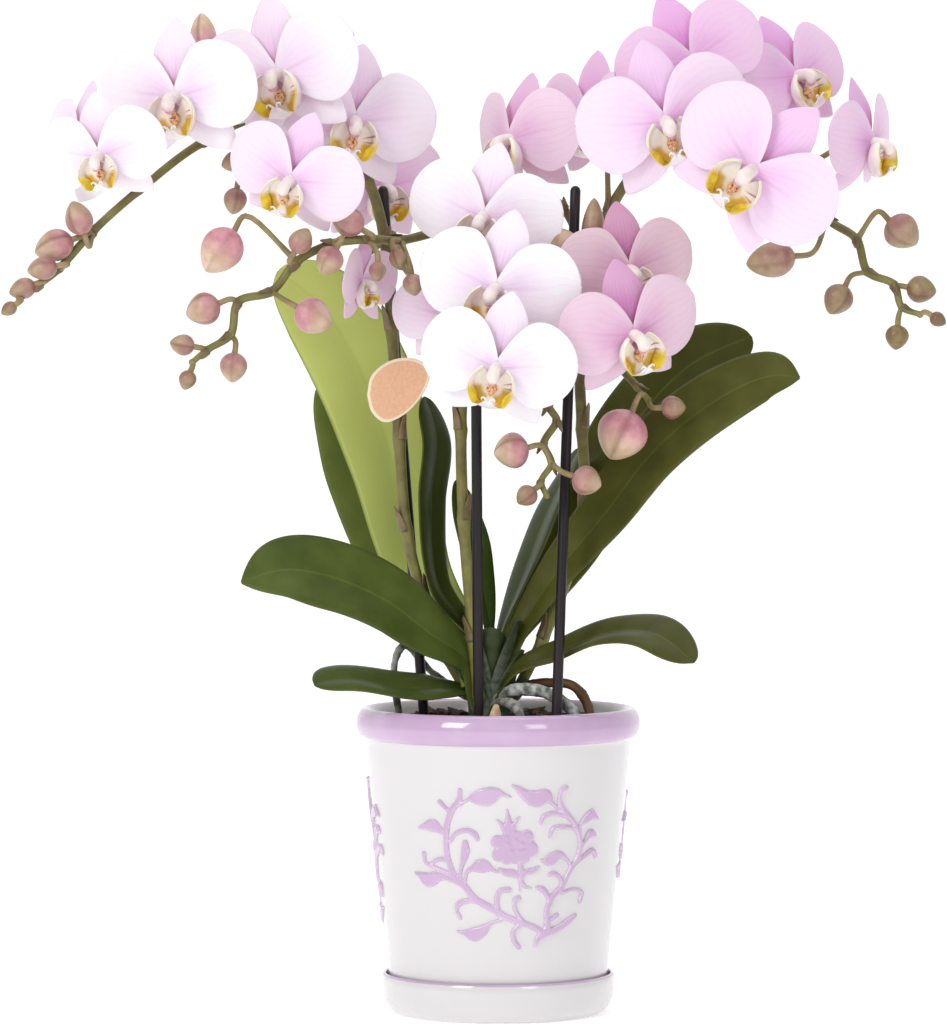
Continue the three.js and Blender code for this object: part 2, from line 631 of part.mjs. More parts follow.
// Blooms: the middle, the turn to the right, the tilt up and the roll clockwise as seen from the front,
// the size, how far the petals lean back, and the spike and its node that the bloom grows from.
const BLOOMS = [
  { name: "bloom_left_1", at: [-157, -48, 343], turn: -15, tilt: -12, roll: -8,
    size: 0.86, sweep: 14, from: ["left", 11] },
  { name: "bloom_left_2", at: [-128, -32, 367], turn: -18, tilt: -6, roll: -4,
    size: 1.06, sweep: 8, from: ["left", 10] },
  { name: "bloom_left_3", at: [-88, -14, 377], turn: -22, tilt: -5, roll: -12,
    size: 1.12, sweep: 4, from: ["left", 9] },
  { name: "bloom_left_4", at: [-58, -1, 359], turn: 8, tilt: -5, roll: 8,
    size: 1.06, sweep: 6, from: ["left", 8] },
  { name: "bloom_left_5", at: [-82, -42, 334], turn: -20, tilt: -18, roll: 21,
    size: 0.92, sweep: 12, from: ["left", 9], via: [[-90, 3, 349], [-84, -28, 339]] },
  { name: "bloom_left_6", at: [-47, 32, 334], turn: 28, tilt: -10, roll: 0,
    size: 0.95, sweep: 8, from: ["left", 6], via: [[-36, 34, 298], [-44, 56, 318]] },
  { name: "bloom_left_7", at: [-55, -16, 294], turn: 60, tilt: -5, roll: 0,
    size: 0.66, sweep: -12, from: ["left", 6] },
  { name: "bloom_left_8", at: [-169, 1, 354], turn: -50, tilt: 5, roll: 0,
    size: 0.76, sweep: 5, from: ["left", 11] },
  { name: "bloom_middle_1", at: [-6, -21, 320], turn: -12, tilt: -8, roll: 12,
    size: 1, sweep: 6, from: ["middle", 7] },
  { name: "bloom_middle_2", at: [-1, -42, 291], turn: -15, tilt: -8, roll: 12,
    size: 1.06, sweep: 8, from: ["middle", 6] },
  { name: "bloom_middle_3", at: [-1, -60, 260], turn: -8, tilt: -12, roll: 12,
    size: 1, sweep: 10, from: ["middle", 4], via: [[-3, -18, 254]] },
  { name: "bloom_middle_4", at: [-20, -10, 281], turn: -15, tilt: -5, roll: 0,
    size: 0.74, sweep: 0, from: ["middle", 5] },
  { name: "bloom_right_1", at: [5, 4, 352], turn: -45, tilt: -5, roll: 0,
    size: 0.98, sweep: 22, from: ["branch", 4] },
  { name: "bloom_right_2", at: [37, 10, 360], turn: -40, tilt: -5, roll: 0,
    size: 0.95, sweep: 8, from: ["right", 7] },
  { name: "bloom_right_3", at: [66, -36, 357], turn: 4, tilt: -5, roll: -16,
    size: 1.12, sweep: 4, from: ["right", 8] },
  { name: "bloom_right_4", at: [99, -56, 337], turn: -14, tilt: -8, roll: 48,
    size: 1.16, sweep: 6, from: ["right", 11] },
  { name: "bloom_right_5", at: [78, -10, 383], turn: 8, tilt: 4, roll: -24,
    size: 1, sweep: 6, from: ["right", 9] },
  { name: "bloom_right_6", at: [121, 14, 378], turn: 36, tilt: 10, roll: -18,
    size: 0.95, sweep: 8, from: ["right", 10] },
  { name: "bloom_right_7", at: [151, 8, 351], turn: 60, tilt: -5, roll: -10,
    size: 0.9, sweep: 12, from: ["right", 11] },
  { name: "bloom_low_1", at: [52, -22, 299], turn: 18, tilt: -5, roll: -8,
    size: 0.92, sweep: 8, from: ["right", 6] },
  { name: "bloom_low_2", at: [53, -46, 273], turn: 26, tilt: -14, roll: -14,
    size: 1, sweep: 10, from: ["right", 5] },
];

// Turns the flower's own frame into the pot's: its face from looking along -Y to its own way.
function bloomTurn({ turn, tilt, roll }) {
  const about = (axis, degrees) => new THREE.Quaternion().setFromAxisAngle(axis, radians(degrees));
  const [x, z] = [vec(1, 0, 0), vec(0, 0, 1)];
  return about(z, turn).multiply(about(x, 90 - tilt)).multiply(about(z, -roll));
}

function blooms() {
  BLOOMS.forEach((bloom) => {
    const place = new THREE.Matrix4().compose(
      vec(...bloom.at),
      bloomTurn(bloom),
      vec(1, 1, 1).multiplyScalar(bloom.size),
    );
    addNode(bloom.name, flower(bloom.sweep).transform([...place.elements]), COLOURS.petal);
  });
}

// Spikes: each stem's nodes, from its foot to its tip.
const STEMS = {
  left: [
    [-12, 6, 128], [-20, 5, 142], [-30, 3, 166], [-37, 2, 194], [-40, 3, 231], [-43, 5, 275], [-46, 9, 312],
    [-53, 13, 336], [-68, 16, 354], [-92, 12, 362], [-118, -4, 351], [-143, -20, 331], [-161, -31, 314],
    [-174, -37, 299], [-181, -40, 293], [-189, -44, 287],
  ],
  middle: [
    [-8, -9, 128], [-10, -9, 150], [-14, -10, 199], [-15, -8, 235], [-14, -5, 255], [-12, -2, 275],
    [-9, 4, 307], [-13, 4, 318], [-24, 0, 315], [-39, -10, 311], [-52, -26, 311], [-66, -32, 309],
    [-80, -34, 302], [-90, -36, 290], [-103, -38, 286], [-106, -40, 273], [-115, -42, 267], [-121, -43, 262],
  ],
  right: [
    [7, 4, 128], [18, 5, 150], [29, 7, 178], [35, 9, 202], [34, 11, 235], [33, 13, 267], [36, 15, 292],
    [45, 17, 323], [62, 21, 347], [86, 25, 364], [108, 23, 361], [124, 9, 341], [132, -7, 320],
    [143, -19, 311], [147, -24, 298], [157, -28, 293], [160, -31, 284], [167, -34, 281],
  ],
  branch: [[36, 15, 292], [33, 17, 311], [27, 17, 324], [19, 17, 333], [13, 20, 341]],
  zigzag: [
    [36, 15, 292], [37, -4, 295], [31, -16, 292], [26, -20, 286], [20, -22, 277], [25, -24, 267],
    [26, -26, 256], [20, -27, 245], [23, -28, 239], [18, -29, 230], [21, -30, 222], [17, -30, 215],
    [19, -31, 209],
  ],
  side: [[33, 13, 267], [46, 2, 262], [56, -10, 252], [60, -14, 247]],
};
const SPIKES = {
  spike_left: ["left"],
  spike_middle: ["middle"],
  spike_right: ["right", "branch", "zigzag", "side"],
};
const MAIN_STEMS = ["left", "middle", "right"];
const THICK_NODES = 8; // the lower nodes of a main stem, where it is thick
const THICK_SIDES = 5;
const THIN_SIDES = 4;

// Buds: the stem and its node, the middle of the bud, its length, its width, and the way that its tip
// points, in degrees from the right as seen from the front.
const BUDS = [
  ["left", 12, [-176, -36, 308], 16, 13, 200], ["left", 12, [-166, -40, 319], 14, 11, 110],
  ["left", 13, [-180, -44, 299], 12, 9.5, 190], ["left", 14, [-188, -42, 291], 11, 8.5, 200],
  ["left", 15, [-193, -46, 283], 7, 5.5, 215], ["left", 10, [-119, 4, 394], 18, 11, 95],
  ["left", 11, [-148, 6, 380], 14, 9.5, 100], ["left", 9, [-106, -2, 327], 11, 9.5, 260],
  ["left", 9, [-107, 4, 343], 10, 8.5, 200],
  ["middle", 12, [-110, -38, 306], 20, 17, 235], ["middle", 14, [-117, -38, 283], 14, 13, 200],
  ["middle", 16, [-125, -42, 269], 10, 8.5, 170], ["middle", 17, [-123, -42, 255], 8, 7, 250],
  ["middle", 15, [-105, -38, 260], 12, 11, 265], ["middle", 12, [-78, -42, 310], 11, 9.5, 60],
  ["middle", 11, [-67, -42, 302], 12, 11, 240], ["middle", 10, [-60, -31, 318], 14, 12, 150],
  ["middle", 9, [-40, -20, 303], 9, 7, 290], ["middle", 10, [-48, -34, 298], 8, 7, 270],
  ["middle", 9, [-34, -22, 293], 9, 8.5, 280], ["middle", 13, [-73, -42, 280], 16, 14.5, 330],
  ["right", 13, [161, -22, 314], 15, 14.5, 320], ["right", 14, [135, -24, 287], 13, 12, 240],
  ["right", 15, [168, -28, 291], 12, 11, 350], ["right", 16, [158, -31, 272], 10, 9.5, 265],
  ["right", 17, [174, -35, 279], 7, 6, 330], ["right", 12, [109, -14, 303], 20, 14.5, 190],
  ["zigzag", 10, [5, -34, 227], 14, 14.5, 190], ["zigzag", 11, [11, -32, 209], 9, 8.5, 220],
  ["zigzag", 10, [35, -34, 215], 12, 12, 340], ["zigzag", 2, [26, -20, 309], 14, 13, 110],
  ["zigzag", 1, [38, -10, 316], 24, 9.5, 88], ["side", 3, [49, -21, 233], 21, 20.5, 245],
  ["side", 3, [70, -17, 244], 10, 9.5, 0],
];

const EGG_PROFILE = [[0, 0], [0.42, 0.22], [0.48, 0.55], [0, 1]]; // share of the width, share of the length
const EGG_SIDES = 5;

// A bud: an egg with its foot at the origin and its tip along +Y.
function egg(length, width) {
  const profile = EGG_PROFILE.map(([r, y]) => new THREE.Vector2(r * width, y * length));
  return new THREE.LatheGeometry(profile, EGG_SIDES);
}

// A stem through its nodes: a main stem is thick up to its bend, and its thin part starts one node lower.
function stemPieces(stem, nodes) {
  const thin = MAIN_STEMS.includes(stem) ? nodes.slice(THICK_NODES - 1) : nodes;
  const pieces = [cane(thin, STEM_TIP_RADIUS, THIN_SIDES, thin.length - 1)];
  if (thin !== nodes) {
    pieces.push(cane(nodes.slice(0, THICK_NODES + 1), STEM_RADIUS, THICK_SIDES, THICK_NODES));
  }
  return pieces;
}

// A bud and the short stalk that leads to its foot.
function budPieces([, , middle, length, width, way], from) {
  const tip = vec(Math.cos(radians(way)), 0, Math.sin(radians(way)));
  const foot = vec(...middle).addScaledVector(tip, -length / 2);
  const behind = foot.clone().addScaledVector(tip, -STALK_SHARE * length);
  const inside = foot.clone().addScaledVector(tip, STALK_SINK);
  const stalk = cane([from, behind, inside], PEDICEL_RADIUS, STALK_SIDES, 2);
  return [stand(egg(length, width), foot, tip), stalk];
}

// The stalk of a bloom, which comes up to the back of its column and stops just short of it.
function bloomStalk(bloom, from) {
  const face = vec(0, 0, 1).applyQuaternion(bloomTurn(bloom));
  const end = vec(...bloom.at).addScaledVector(face, -COLUMN_BACK * bloom.size - JOIN_CLEAR);
  const reach = Math.min(STALK_REACH, STALK_SHARE * end.distanceTo(from));
  const bends = (bloom.via || []).map((p) => vec(...p));
  const route = [from, ...bends, end.clone().addScaledVector(face, -reach), end];
  return cane(route, PEDICEL_RADIUS, STALK_SIDES, route.length - 1);
}

function spikes() {
  for (const [name, stems] of Object.entries(SPIKES)) {
    const pieces = [];
    for (const stem of stems) {
      const nodes = STEMS[stem].map((p) => vec(...p));
      pieces.push(...stemPieces(stem, nodes));
      for (const bud of BUDS.filter(([grows]) => grows === stem)) {
        pieces.push(...budPieces(bud, nodes[bud[1]]));
      }
      for (const bloom of BLOOMS.filter(({ from }) => from[0] === stem)) {
        pieces.push(bloomStalk(bloom, nodes[bloom.from[1]]));
      }
    }
    addNode(name, fuse(pieces.map(solidOf)), COLOURS.stem);
  }
}

pot();
saucer();
bark();
crown();
stakes();
tag();
leaves();
spikes();
blooms();

export default orchid;
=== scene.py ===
"""A moth orchid in bloom in its glazed pot: the finished look, for Blender 4.5.

Metres, +Z up, and the front faces -Y. Shapes are formulas on whole arrays, in millimetres, and each mesh
turns its own corners to metres as it is made.
"""

import math

import bpy
import numpy as np
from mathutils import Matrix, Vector


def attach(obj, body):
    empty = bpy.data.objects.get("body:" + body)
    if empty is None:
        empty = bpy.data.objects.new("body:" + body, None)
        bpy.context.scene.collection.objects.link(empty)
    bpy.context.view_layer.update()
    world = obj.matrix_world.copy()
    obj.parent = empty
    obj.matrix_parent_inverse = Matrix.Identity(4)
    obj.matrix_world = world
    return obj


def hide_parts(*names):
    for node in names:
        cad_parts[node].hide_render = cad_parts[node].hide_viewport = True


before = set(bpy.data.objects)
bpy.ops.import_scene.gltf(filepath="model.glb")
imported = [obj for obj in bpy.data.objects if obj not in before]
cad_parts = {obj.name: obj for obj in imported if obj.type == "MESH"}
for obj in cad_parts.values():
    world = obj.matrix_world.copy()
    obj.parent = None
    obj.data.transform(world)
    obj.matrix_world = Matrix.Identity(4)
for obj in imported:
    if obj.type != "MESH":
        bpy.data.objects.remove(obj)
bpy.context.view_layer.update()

# Camera: a long lens two metres away, which sees the plant square from the front and from just above the
# pot's rim.
CAMERA_PLACE = Vector((-0.010, -2.0, 0.258))
CAMERA_AIM = Vector((-0.010, 0.0, 0.20175))
CAMERA_LENS = 174.3  # millimetres
camera = bpy.data.objects.new("camera", bpy.data.cameras.new("camera"))
camera.location = CAMERA_PLACE
camera.rotation_euler = (CAMERA_AIM - CAMERA_PLACE).to_track_quat("-Z", "Y").to_euler()
camera.data.lens = CAMERA_LENS
bpy.context.scene.collection.objects.link(camera)
bpy.context.scene.camera = camera
bpy.context.scene.view_settings.view_transform = "Standard"  # plain colours, as a product photograph has

# Ground: a pale floor that sweeps up well behind the plant, as a sheet of studio paper does.
FLOOR_HALF = 12.0  # metres
WALL_TOP = 4.0
SWEEP_START = 2.3  # behind the place where a camera stands for the plant's back
SWEEP_RADIUS = 0.8
SWEEP_STEPS = 24
sweep_turn = np.linspace(0, math.pi / 2, SWEEP_STEPS)
paper_y = np.concatenate([[-FLOOR_HALF], SWEEP_START + SWEEP_RADIUS * np.sin(sweep_turn)])
paper_z = np.concatenate([[0.0], SWEEP_RADIUS * (1 - np.cos(sweep_turn))])
paper_y = np.append(paper_y, paper_y[-1])
paper_z = np.append(paper_z, WALL_TOP)
paper_corners = [(x, y, z) for y, z in zip(paper_y, paper_z) for x in (-FLOOR_HALF, FLOOR_HALF)]
paper_faces = [(2 * i, 2 * i + 1, 2 * i + 3, 2 * i + 2) for i in range(len(paper_y) - 1)]
paper_mesh = bpy.data.meshes.new("paper")
paper_mesh.from_pydata(paper_corners, [], paper_faces)
paper_mesh.shade_smooth()
paper = bpy.data.objects.new("paper", paper_mesh)
bpy.context.scene.collection.objects.link(paper)
paper_skin = bpy.data.materials.new("paper")
paper_skin.use_nodes = True
PAPER_LOOK = {"Base Color": (0.92, 0.92, 0.92, 1), "Emission Color": (1, 1, 1, 1), "Emission Strength": 0.35,
              "Roughness": 0.9}
for key, value in PAPER_LOOK.items():
    paper_skin.node_tree.nodes["Principled BSDF"].inputs[key].default_value = value
paper_mesh.materials.append(paper_skin)

# Light: two soft boxes in front, a broad one above and an even pale surround.
LIGHTS = [  # name, place, width, height in metres, watts
    ("box_left", (-1.5, -1.9, 1.5), 0.9, 1.2, 27),
    ("box_right", (1.3, -2.1, 1.2), 0.7, 1.0, 9),
    ("box_above", (0.2, 0.3, 2.2), 1.8, 1.8, 17),
]
LIGHT_AIM = Vector((0, 0, 0.2))
for name, place, width, height, watts in LIGHTS:
    lamp = bpy.data.lights.new(name, "AREA")
    lamp.shape = "RECTANGLE"
    lamp.size, lamp.size_y, lamp.energy = width, height, watts
    box = bpy.data.objects.new(name, lamp)
    box.location = place
    box.rotation_euler = (LIGHT_AIM - Vector(place)).to_track_quat("-Z", "Y").to_euler()
    bpy.context.scene.collection.objects.link(box)
SURROUND_LOOK = {"Color": (0.95, 0.96, 1.0, 1), "Strength": 0.42}
surround = bpy.data.worlds.new("surround")
surround.use_nodes = True
for key, value in SURROUND_LOOK.items():
    surround.node_tree.nodes["Background"].inputs[key].default_value = value
bpy.context.scene.world = surround


# The pot: slip-cast white stoneware under a clear gloss glaze. A lilac glaze covers its rolled rim, and
# a vine wreath round a pomegranate is pressed up out of its wall three times and glazed lilac too.
def rgb(code):
    """A web colour as linear red, green, blue and alpha."""
    share = [int(code[i : i + 2], 16) / 255 for i in (1, 3, 5)]
    return (*(c / 12.92 if c <= 0.04045 else ((c + 0.055) / 1.055) ** 2.4 for c in share), 1.0)


class Shade:
    """A number or a colour that a material works out for each place on a surface."""

    def __init__(self, paint, socket):
        self.paint, self.socket = paint, socket

    def math(self, operation, other=0.0):
        """This number worked out with another one, or alone where the operation takes one."""
        return self.paint.add("Math", {0: self, 1: other}, operation=operation)

    def __add__(self, other):
        return self.math("ADD", other)

    def __sub__(self, other):
        return self.math("SUBTRACT", other)

    def __mul__(self, other):
        return self.math("MULTIPLY", other)

    def between(self, low, high):
        """0 where the number is low or less, 1 where it is high or more, and smooth between."""
        wanted = {"Value": self, "From Min": low, "From Max": high}
        return self.paint.add("MapRange", wanted, interpolation_type="SMOOTHSTEP")

    def blend(self, none, full):
        """One colour where the number is 0, another where it is 1."""
        return self.paint.add("Mix", {0: self, 6: none, 7: full}, output=2, data_type="RGBA")


class Paint:
    """A material while its nodes are laid out. An input is a number, a web colour or a Shade."""

    def __init__(self, name, inputs):
        self.material = bpy.data.materials.new(name)
        self.material.use_nodes = True
        self.tree = self.material.node_tree
        self.shader = self.tree.nodes["Principled BSDF"]
        self.place = self.add("TexCoord", output="Object")
        self.fill(self.shader, inputs)

    def fill(self, node, inputs):
        """Gives a node its inputs, as a set value or as a link."""
        for key, value in inputs.items():
            if isinstance(value, Shade):
                self.tree.links.new(value.socket, node.inputs[key])
            else:
                node.inputs[key].default_value = rgb(value) if isinstance(value, str) else value

    def add(self, kind, inputs=None, output=0, **settings):
        """A new node, as the Shade that comes out of it."""
        node = self.tree.nodes.new("ShaderNode" + kind)
        for key, value in settings.items():
            setattr(node, key, value)
        self.fill(node, inputs or {})
        return Shade(self, node.outputs[output])

    def value(self, name):
        """A number that the mesh carries at its corners."""
        return self.add("Attribute", output="Fac", attribute_name=name)

    def noise(self, scale, detail, stretch=(1, 1, 1)):
        """Soft noise from 0 to 1, of about scale lumps a metre, finer along an axis that is stretched."""
        place = self.add("Mapping", {"Vector": self.place, "Scale": stretch})
        return self.add("TexNoise", {"Vector": place, "Scale": scale, "Detail": detail})

    def colour(self, shade):
        self.fill(self.shader, {"Base Color": shade})

    def bump(self, height, distance, strength):
        wanted = {"Height": height, "Distance": distance, "Strength": strength}
        self.fill(self.shader, {"Normal": self.add("Bump", wanted)})


def smooth_line(points, steps):
    """Points on the smooth curve through the given ones (a centripetal Catmull-Rom), steps to a span.

    Each span is a blend of straight lines whose knots lie apart by the square root of the distance.
    """
    p = np.asarray(points, float)
    p = np.vstack([2 * p[0] - p[1], p, 2 * p[-1] - p[-2]])
    knots = np.concatenate([[0], np.cumsum(np.linalg.norm(np.diff(p, axis=0), axis=1) ** 0.5)])
    out = [p[1][None]]
    for i in range(len(p) - 3):
        k, q = knots[i : i + 4], p[i : i + 4]
        t = np.linspace(k[1], k[2], steps + 1)[1:, None]
        a = [((k[j + 1] - t) * q[j] + (t - k[j]) * q[j + 1]) / (k[j + 1] - k[j]) for j in range(3)]
        b = [((k[j + 2] - t) * a[j] + (t - k[j]) * a[j + 1]) / (k[j + 2] - k[j]) for j in range(2)]
        out.append(((k[2] - t) * b[0] + (t - k[1]) * b[1]) / (k[2] - k[1]))
    return np.concatenate(out)


def grid_faces(rows, columns):
    """The quads between neighbouring corners of a grid that is numbered row after row."""
    r, c = np.meshgrid(np.arange(rows - 1), np.arange(columns - 1), indexing="ij")
    first = (r * columns + c).ravel()
    return np.stack([first, first + 1, first + columns + 1, first + columns], axis=1)


def grid_shape(points, values=None):
    """A shape from a grid of points: its corners, its quads, and values that are spread over the grid."""
    spread = {key: np.broadcast_to(value, points.shape[:2]).ravel() for key, value in (values or {}).items()}
    return points.reshape(-1, 3), grid_faces(*points.shape[:2]), spread


def lathe(profile, columns, values=None):
    """A turned shape: each profile point (radius, height) is carried round the axis, and its values too."""
    turn = np.linspace(0, 2 * math.pi, columns + 1)
    r, z = np.asarray(profile, float)[:, :2].T[..., None]
    return grid_shape(np.stack([r * np.cos(turn), r * np.sin(turn), z + 0 * turn], axis=-1), values)


def make_piece(name, node, shapes, skins, sharp=None):
    """One object from closed shapes, each with its corners in millimetres, quads, values and skin number.

    A shape without a skin number has the first skin. Equal corners of a shape become one, which closes its
    seams and poles: a quad with two equal corners becomes a triangle, and one with fewer than three goes.
    """
    shapes = [(*shape, 0)[:4] for shape in shapes]
    starts = np.cumsum([0] + [len(s[0]) for s in shapes])
    corners = np.concatenate([s[0] for s in shapes])
    owner = np.repeat(np.arange(len(shapes)), [len(s[0]) for s in shapes])
    quads = np.concatenate([s[1] + start for s, start in zip(shapes, starts)])
    skin = np.repeat([s[3] for s in shapes], [len(s[1]) for s in shapes])
    keys = np.column_stack([np.round(corners * 1e4), owner]).astype(np.int64)
    first, same = np.unique(keys, axis=0, return_index=True, return_inverse=True)[1:]
    quads = same.reshape(-1)[quads]
    fresh = quads != np.roll(quads, -1, axis=1)
    keep = fresh.sum(axis=1) >= 3
    quads, fresh, skin = quads[keep], fresh[keep], skin[keep]
    sizes = fresh.sum(axis=1)
    mesh = bpy.data.meshes.new(name)
    mesh.vertices.add(len(first))
    mesh.vertices.foreach_set("co", (corners[first] * 0.001).ravel())
    mesh.loops.add(int(sizes.sum()))
    mesh.loops.foreach_set("vertex_index", quads[fresh])
    mesh.polygons.add(len(sizes))
    mesh.polygons.foreach_set("loop_start", np.cumsum(sizes) - sizes)
    mesh.polygons.foreach_set("material_index", skin.astype(np.int32))
    for key in sorted({key for s in shapes for key in s[2]}):
        parts = [s[2].get(key, np.zeros(len(s[0]))) for s in shapes]
        carried = mesh.attributes.new(key, "FLOAT", "POINT")
        carried.data.foreach_set("value", np.concatenate(parts)[first].astype(np.float32))
    mesh.update(calc_edges=True)
    mesh.validate()
    mesh.shade_smooth()
    if sharp:
        mesh.set_sharp_from_angle(angle=math.radians(sharp))
    for paint in skins:
        mesh.materials.append(paint.material)
    piece = bpy.data.objects.new(name, mesh)
    bpy.context.scene.collection.objects.link(piece)
    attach(piece, "root")
    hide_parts(node)


WHITE, BLUSH = "#DDDADA", "#DDC2D2"
LILAC, THIN_LILAC, EDGE_WHITE_AND_HIGHLIGHT = "#C6A6C8", "#D0B4D2", "#F0E4F0"
glaze = Paint("glaze", {"Roughness": 0.12, "Coat Weight": 0.6, "Coat Roughness": 0.04})
tint = glaze.value("lilac")
pooled = glaze.noise(35, 3).between(0.3, 0.75).blend(LILAC, THIN_LILAC)
thin_glaze_and_highlight = (glaze.value("edge") * 0.75).blend(pooled, EDGE_WHITE_AND_HIGHLIGHT)  # the glaze runs thin over an edge, and a highlight is painted along it
bleeding = tint.between(0.0, 0.35).blend(WHITE, BLUSH)
glaze.colour(tint.between(0.25, 0.6).blend(bleeding, thin_glaze_and_highlight))
glaze.bump(glaze.noise(22, 1), 0.0006, 0.35)

POT_PROFILE = [  # radius, height, how lilac
    (6, 4.9, 0), (20, 4.9, 0), (39.2, 4.9, 0), (40.6, 5.3, 0), (42.2, 7.4, 0), (43.4, 10.6, 0),
    (44.1, 14.6, 0), (46.5, 38, 0), (49, 62, 0), (51.4, 86, 0), (53.3, 104.5, 0), (53.8, 109.6, 0),
    (54.2, 110.6, 0), (55, 111.1, 1), (56.2, 112, 1), (57.1, 113.8, 1), (57.5, 116.2, 1), (57.3, 118.6, 1),
    (56.5, 120.8, 1), (55.3, 122.4, 1), (54, 123, 0.9), (52.7, 122.5, 0.3), (51.6, 121, 0),
    (50.9, 118.8, 0), (50.4, 117.2, 0), (49.6, 109, 0), (47, 84, 0), (44, 53, 0), (41.2, 24, 0),
    (40.4, 16, 0), (38.9, 12, 0), (36.6, 9.9, 0), (20, 9.9, 0), (6, 9.9, 0),
]
POT_COLUMNS = 160
pot_line = smooth_line(POT_PROFILE, 4)
pot_line = np.vstack([pot_line, pot_line[:1]])
pot_shape = lathe(pot_line, POT_COLUMNS, {"lilac": np.clip(pot_line[:, 2:], 0, 1)})
make_piece("pot_body", "pot", [pot_shape], [glaze])

# The wreath is a set of strokes, each a chain of round spots: place along the wall, place up, half width.
WREATH = [
    # the left vine and what grows on it
    [(12.5, -36.5, 1.2), (8, -34, 1.2), (3.5, -32.5, 1.2), (-3.5, -30, 1.3), (-9.5, -26.5, 1.4),
     (-16, -23, 1.3), (-21.5, -17, 1.4), (-25, -13.5, 1.2), (-27.5, -6.5, 1.2), (-28, 0.5, 1.2),
     (-27, 7.5, 1.2), (-25, 12.5, 1.2), (-22, 16.5, 1.1), (-21.5, 20.5, 0.8)],
    [(-22, 14.5, 0.6), (-18, 17, 0.7), (-16, 17.5, 1.9), (-11.5, 18, 3.6), (-8, 19.5, 2.2), (-5, 19, 0.9),
     (-2, 18, 0.3)],
    [(-25.5, 11, 0.8), (-28, 13.5, 0.8), (-30, 15.5, 1)],
    [(-27.5, 3, 0.7), (-30, 4, 1.2), (-33.5, 6, 2.5), (-37, 5.5, 1.5), (-40.5, 4.5, 0.4)],
    [(-26, 0, 0.6), (-24, 3, 0.8), (-19.5, 4.5, 1), (-16, 3, 1.2), (-15, 1, 0.8)],
    [(-25, -14, 0.8), (-30, -12, 0.8), (-34.5, -10.5, 0.8), (-38, -9, 0.8), (-38.5, -5.5, 1)],
    [(-35.5, -9.5, 0.6), (-32, -7.5, 0.8), (-28.5, -7.5, 1)],
    [(-21.5, -17, 1.1), (-27, -15, 1.2), (-31.5, -14, 1.8), (-37, -16, 3), (-40.5, -14.5, 1.6),
     (-44, -13.5, 0.4)],
    [(-23, -15.5, 0.7), (-21.5, -9, 0.9), (-20, -4, 1.8), (-20, -0.5, 1.2)],
    [(-20.5, -16, 0.7), (-19.5, -12, 0.7), (-17, -10.5, 1.2), (-13.5, -9.5, 2.8), (-10, -10.5, 1.2),
     (-7, -12, 0.4)],
    [(-14, -24, 0.7), (-19, -23.5, 0.9), (-23.5, -25, 1.1), (-24.5, -27.5, 0.8), (-23, -30.5, 0.8)],
    [(-6.5, -28.5, 0.8), (-7.5, -23, 1), (-6, -19.5, 1), (-2.5, -19, 1.2)],
    [(-5.5, -31, 0.7), (-10, -32.5, 0.7), (-13, -35, 1.9), (-17, -37, 2.8), (-21, -36.5, 1.2),
     (-24.5, -36, 0.5)],
    [(2, -33.5, 0.8), (-0.5, -36, 1), (0, -39.5, 1), (2, -42, 1.1)],
    [(4, -32, 0.7), (0.5, -27.5, 0.8), (0, -23, 0.9), (1.5, -22.5, 1.2)],
    # the right vine and what grows on it
    [(9, -42, 0.5), (10.5, -39, 1.4), (14.5, -35, 1.5), (14, -28.5, 1.3), (16, -23, 1.3), (20.5, -18.5, 1.2),
     (24, -12.5, 1.2), (27.5, -7.5, 1.2), (28.5, -2, 1.2), (27, 3, 1.1), (24, 7.5, 1.1), (19.5, 12, 1.2),
     (17.5, 16, 1), (18, 20, 0.8), (20, 21, 1.1)],
    [(12.5, -37.5, 1.4), (20.5, -35, 1.5), (26, -32, 1.4), (28.5, -30.5, 0.9)],
    [(15.5, -32, 0.8), (19, -30, 1.1)],
    [(15.5, -25, 0.8), (13.5, -21, 1.1), (11.5, -19, 1.2), (9.5, -18.5, 0.8)],
    [(21, -21, 0.7), (27, -20, 0.8), (31.5, -21.5, 0.8), (30.5, -25, 1)],
    [(21, -18.5, 0.8), (19.5, -15, 0.9), (16.5, -13, 1), (14.5, -13.5, 0.8)],
    [(25, -11.5, 0.6), (22, -7.5, 0.8), (18.5, -5.5, 1.6), (15, -7.5, 2.5), (12.5, -8, 1.2),
     (10.5, -7.5, 0.4)],
    [(26, -10, 0.9), (30.5, -7.5, 1.1), (36, -5, 1.2), (38, -7.5, 0.9)],
    [(28, -4.5, 0.7), (31, -1, 0.8), (34, 2, 1.8), (36.5, 1, 0.9)],
    [(28, 1.5, 0.7), (28, 6, 0.8), (31, 8, 1.9), (33.5, 9.5, 1.9), (37.5, 7.5, 0.6)],
    [(33.5, 9, 1.6), (34, 11.5, 0.5)],
    [(25, 4.5, 0.7), (20, 5.5, 0.9), (15.5, 5, 1), (14, 2, 0.8)],
    [(21, 9.5, 0.7), (16, 11, 0.9), (11.5, 10, 1), (10, 7.5, 0.8)],
    [(17.5, 12.5, 0.7), (14, 15.5, 0.8), (11.5, 18, 2.7), (8, 17, 3.3), (4, 18.5, 2.1), (1, 21, 1.2),
     (-1.5, 22.5, 0.4)],
    # the fruit's stem with its leaves and thorn
    [(2, -8.5, 1), (2.5, -13.5, 1), (2, -19.5, 0.3)],
    [(2, -14, 0.7), (-1, -12.5, 1.6), (-4, -12, 1.4), (-6.5, -10.5, 0.4)],
    [(2.5, -14, 0.6), (5, -12, 1.2), (7.5, -11.5, 1.1), (10, -10, 0.4)],
    [(2.5, -15.5, 0.6), (4.5, -18, 0.6), (7, -18.5, 0.3)],
]
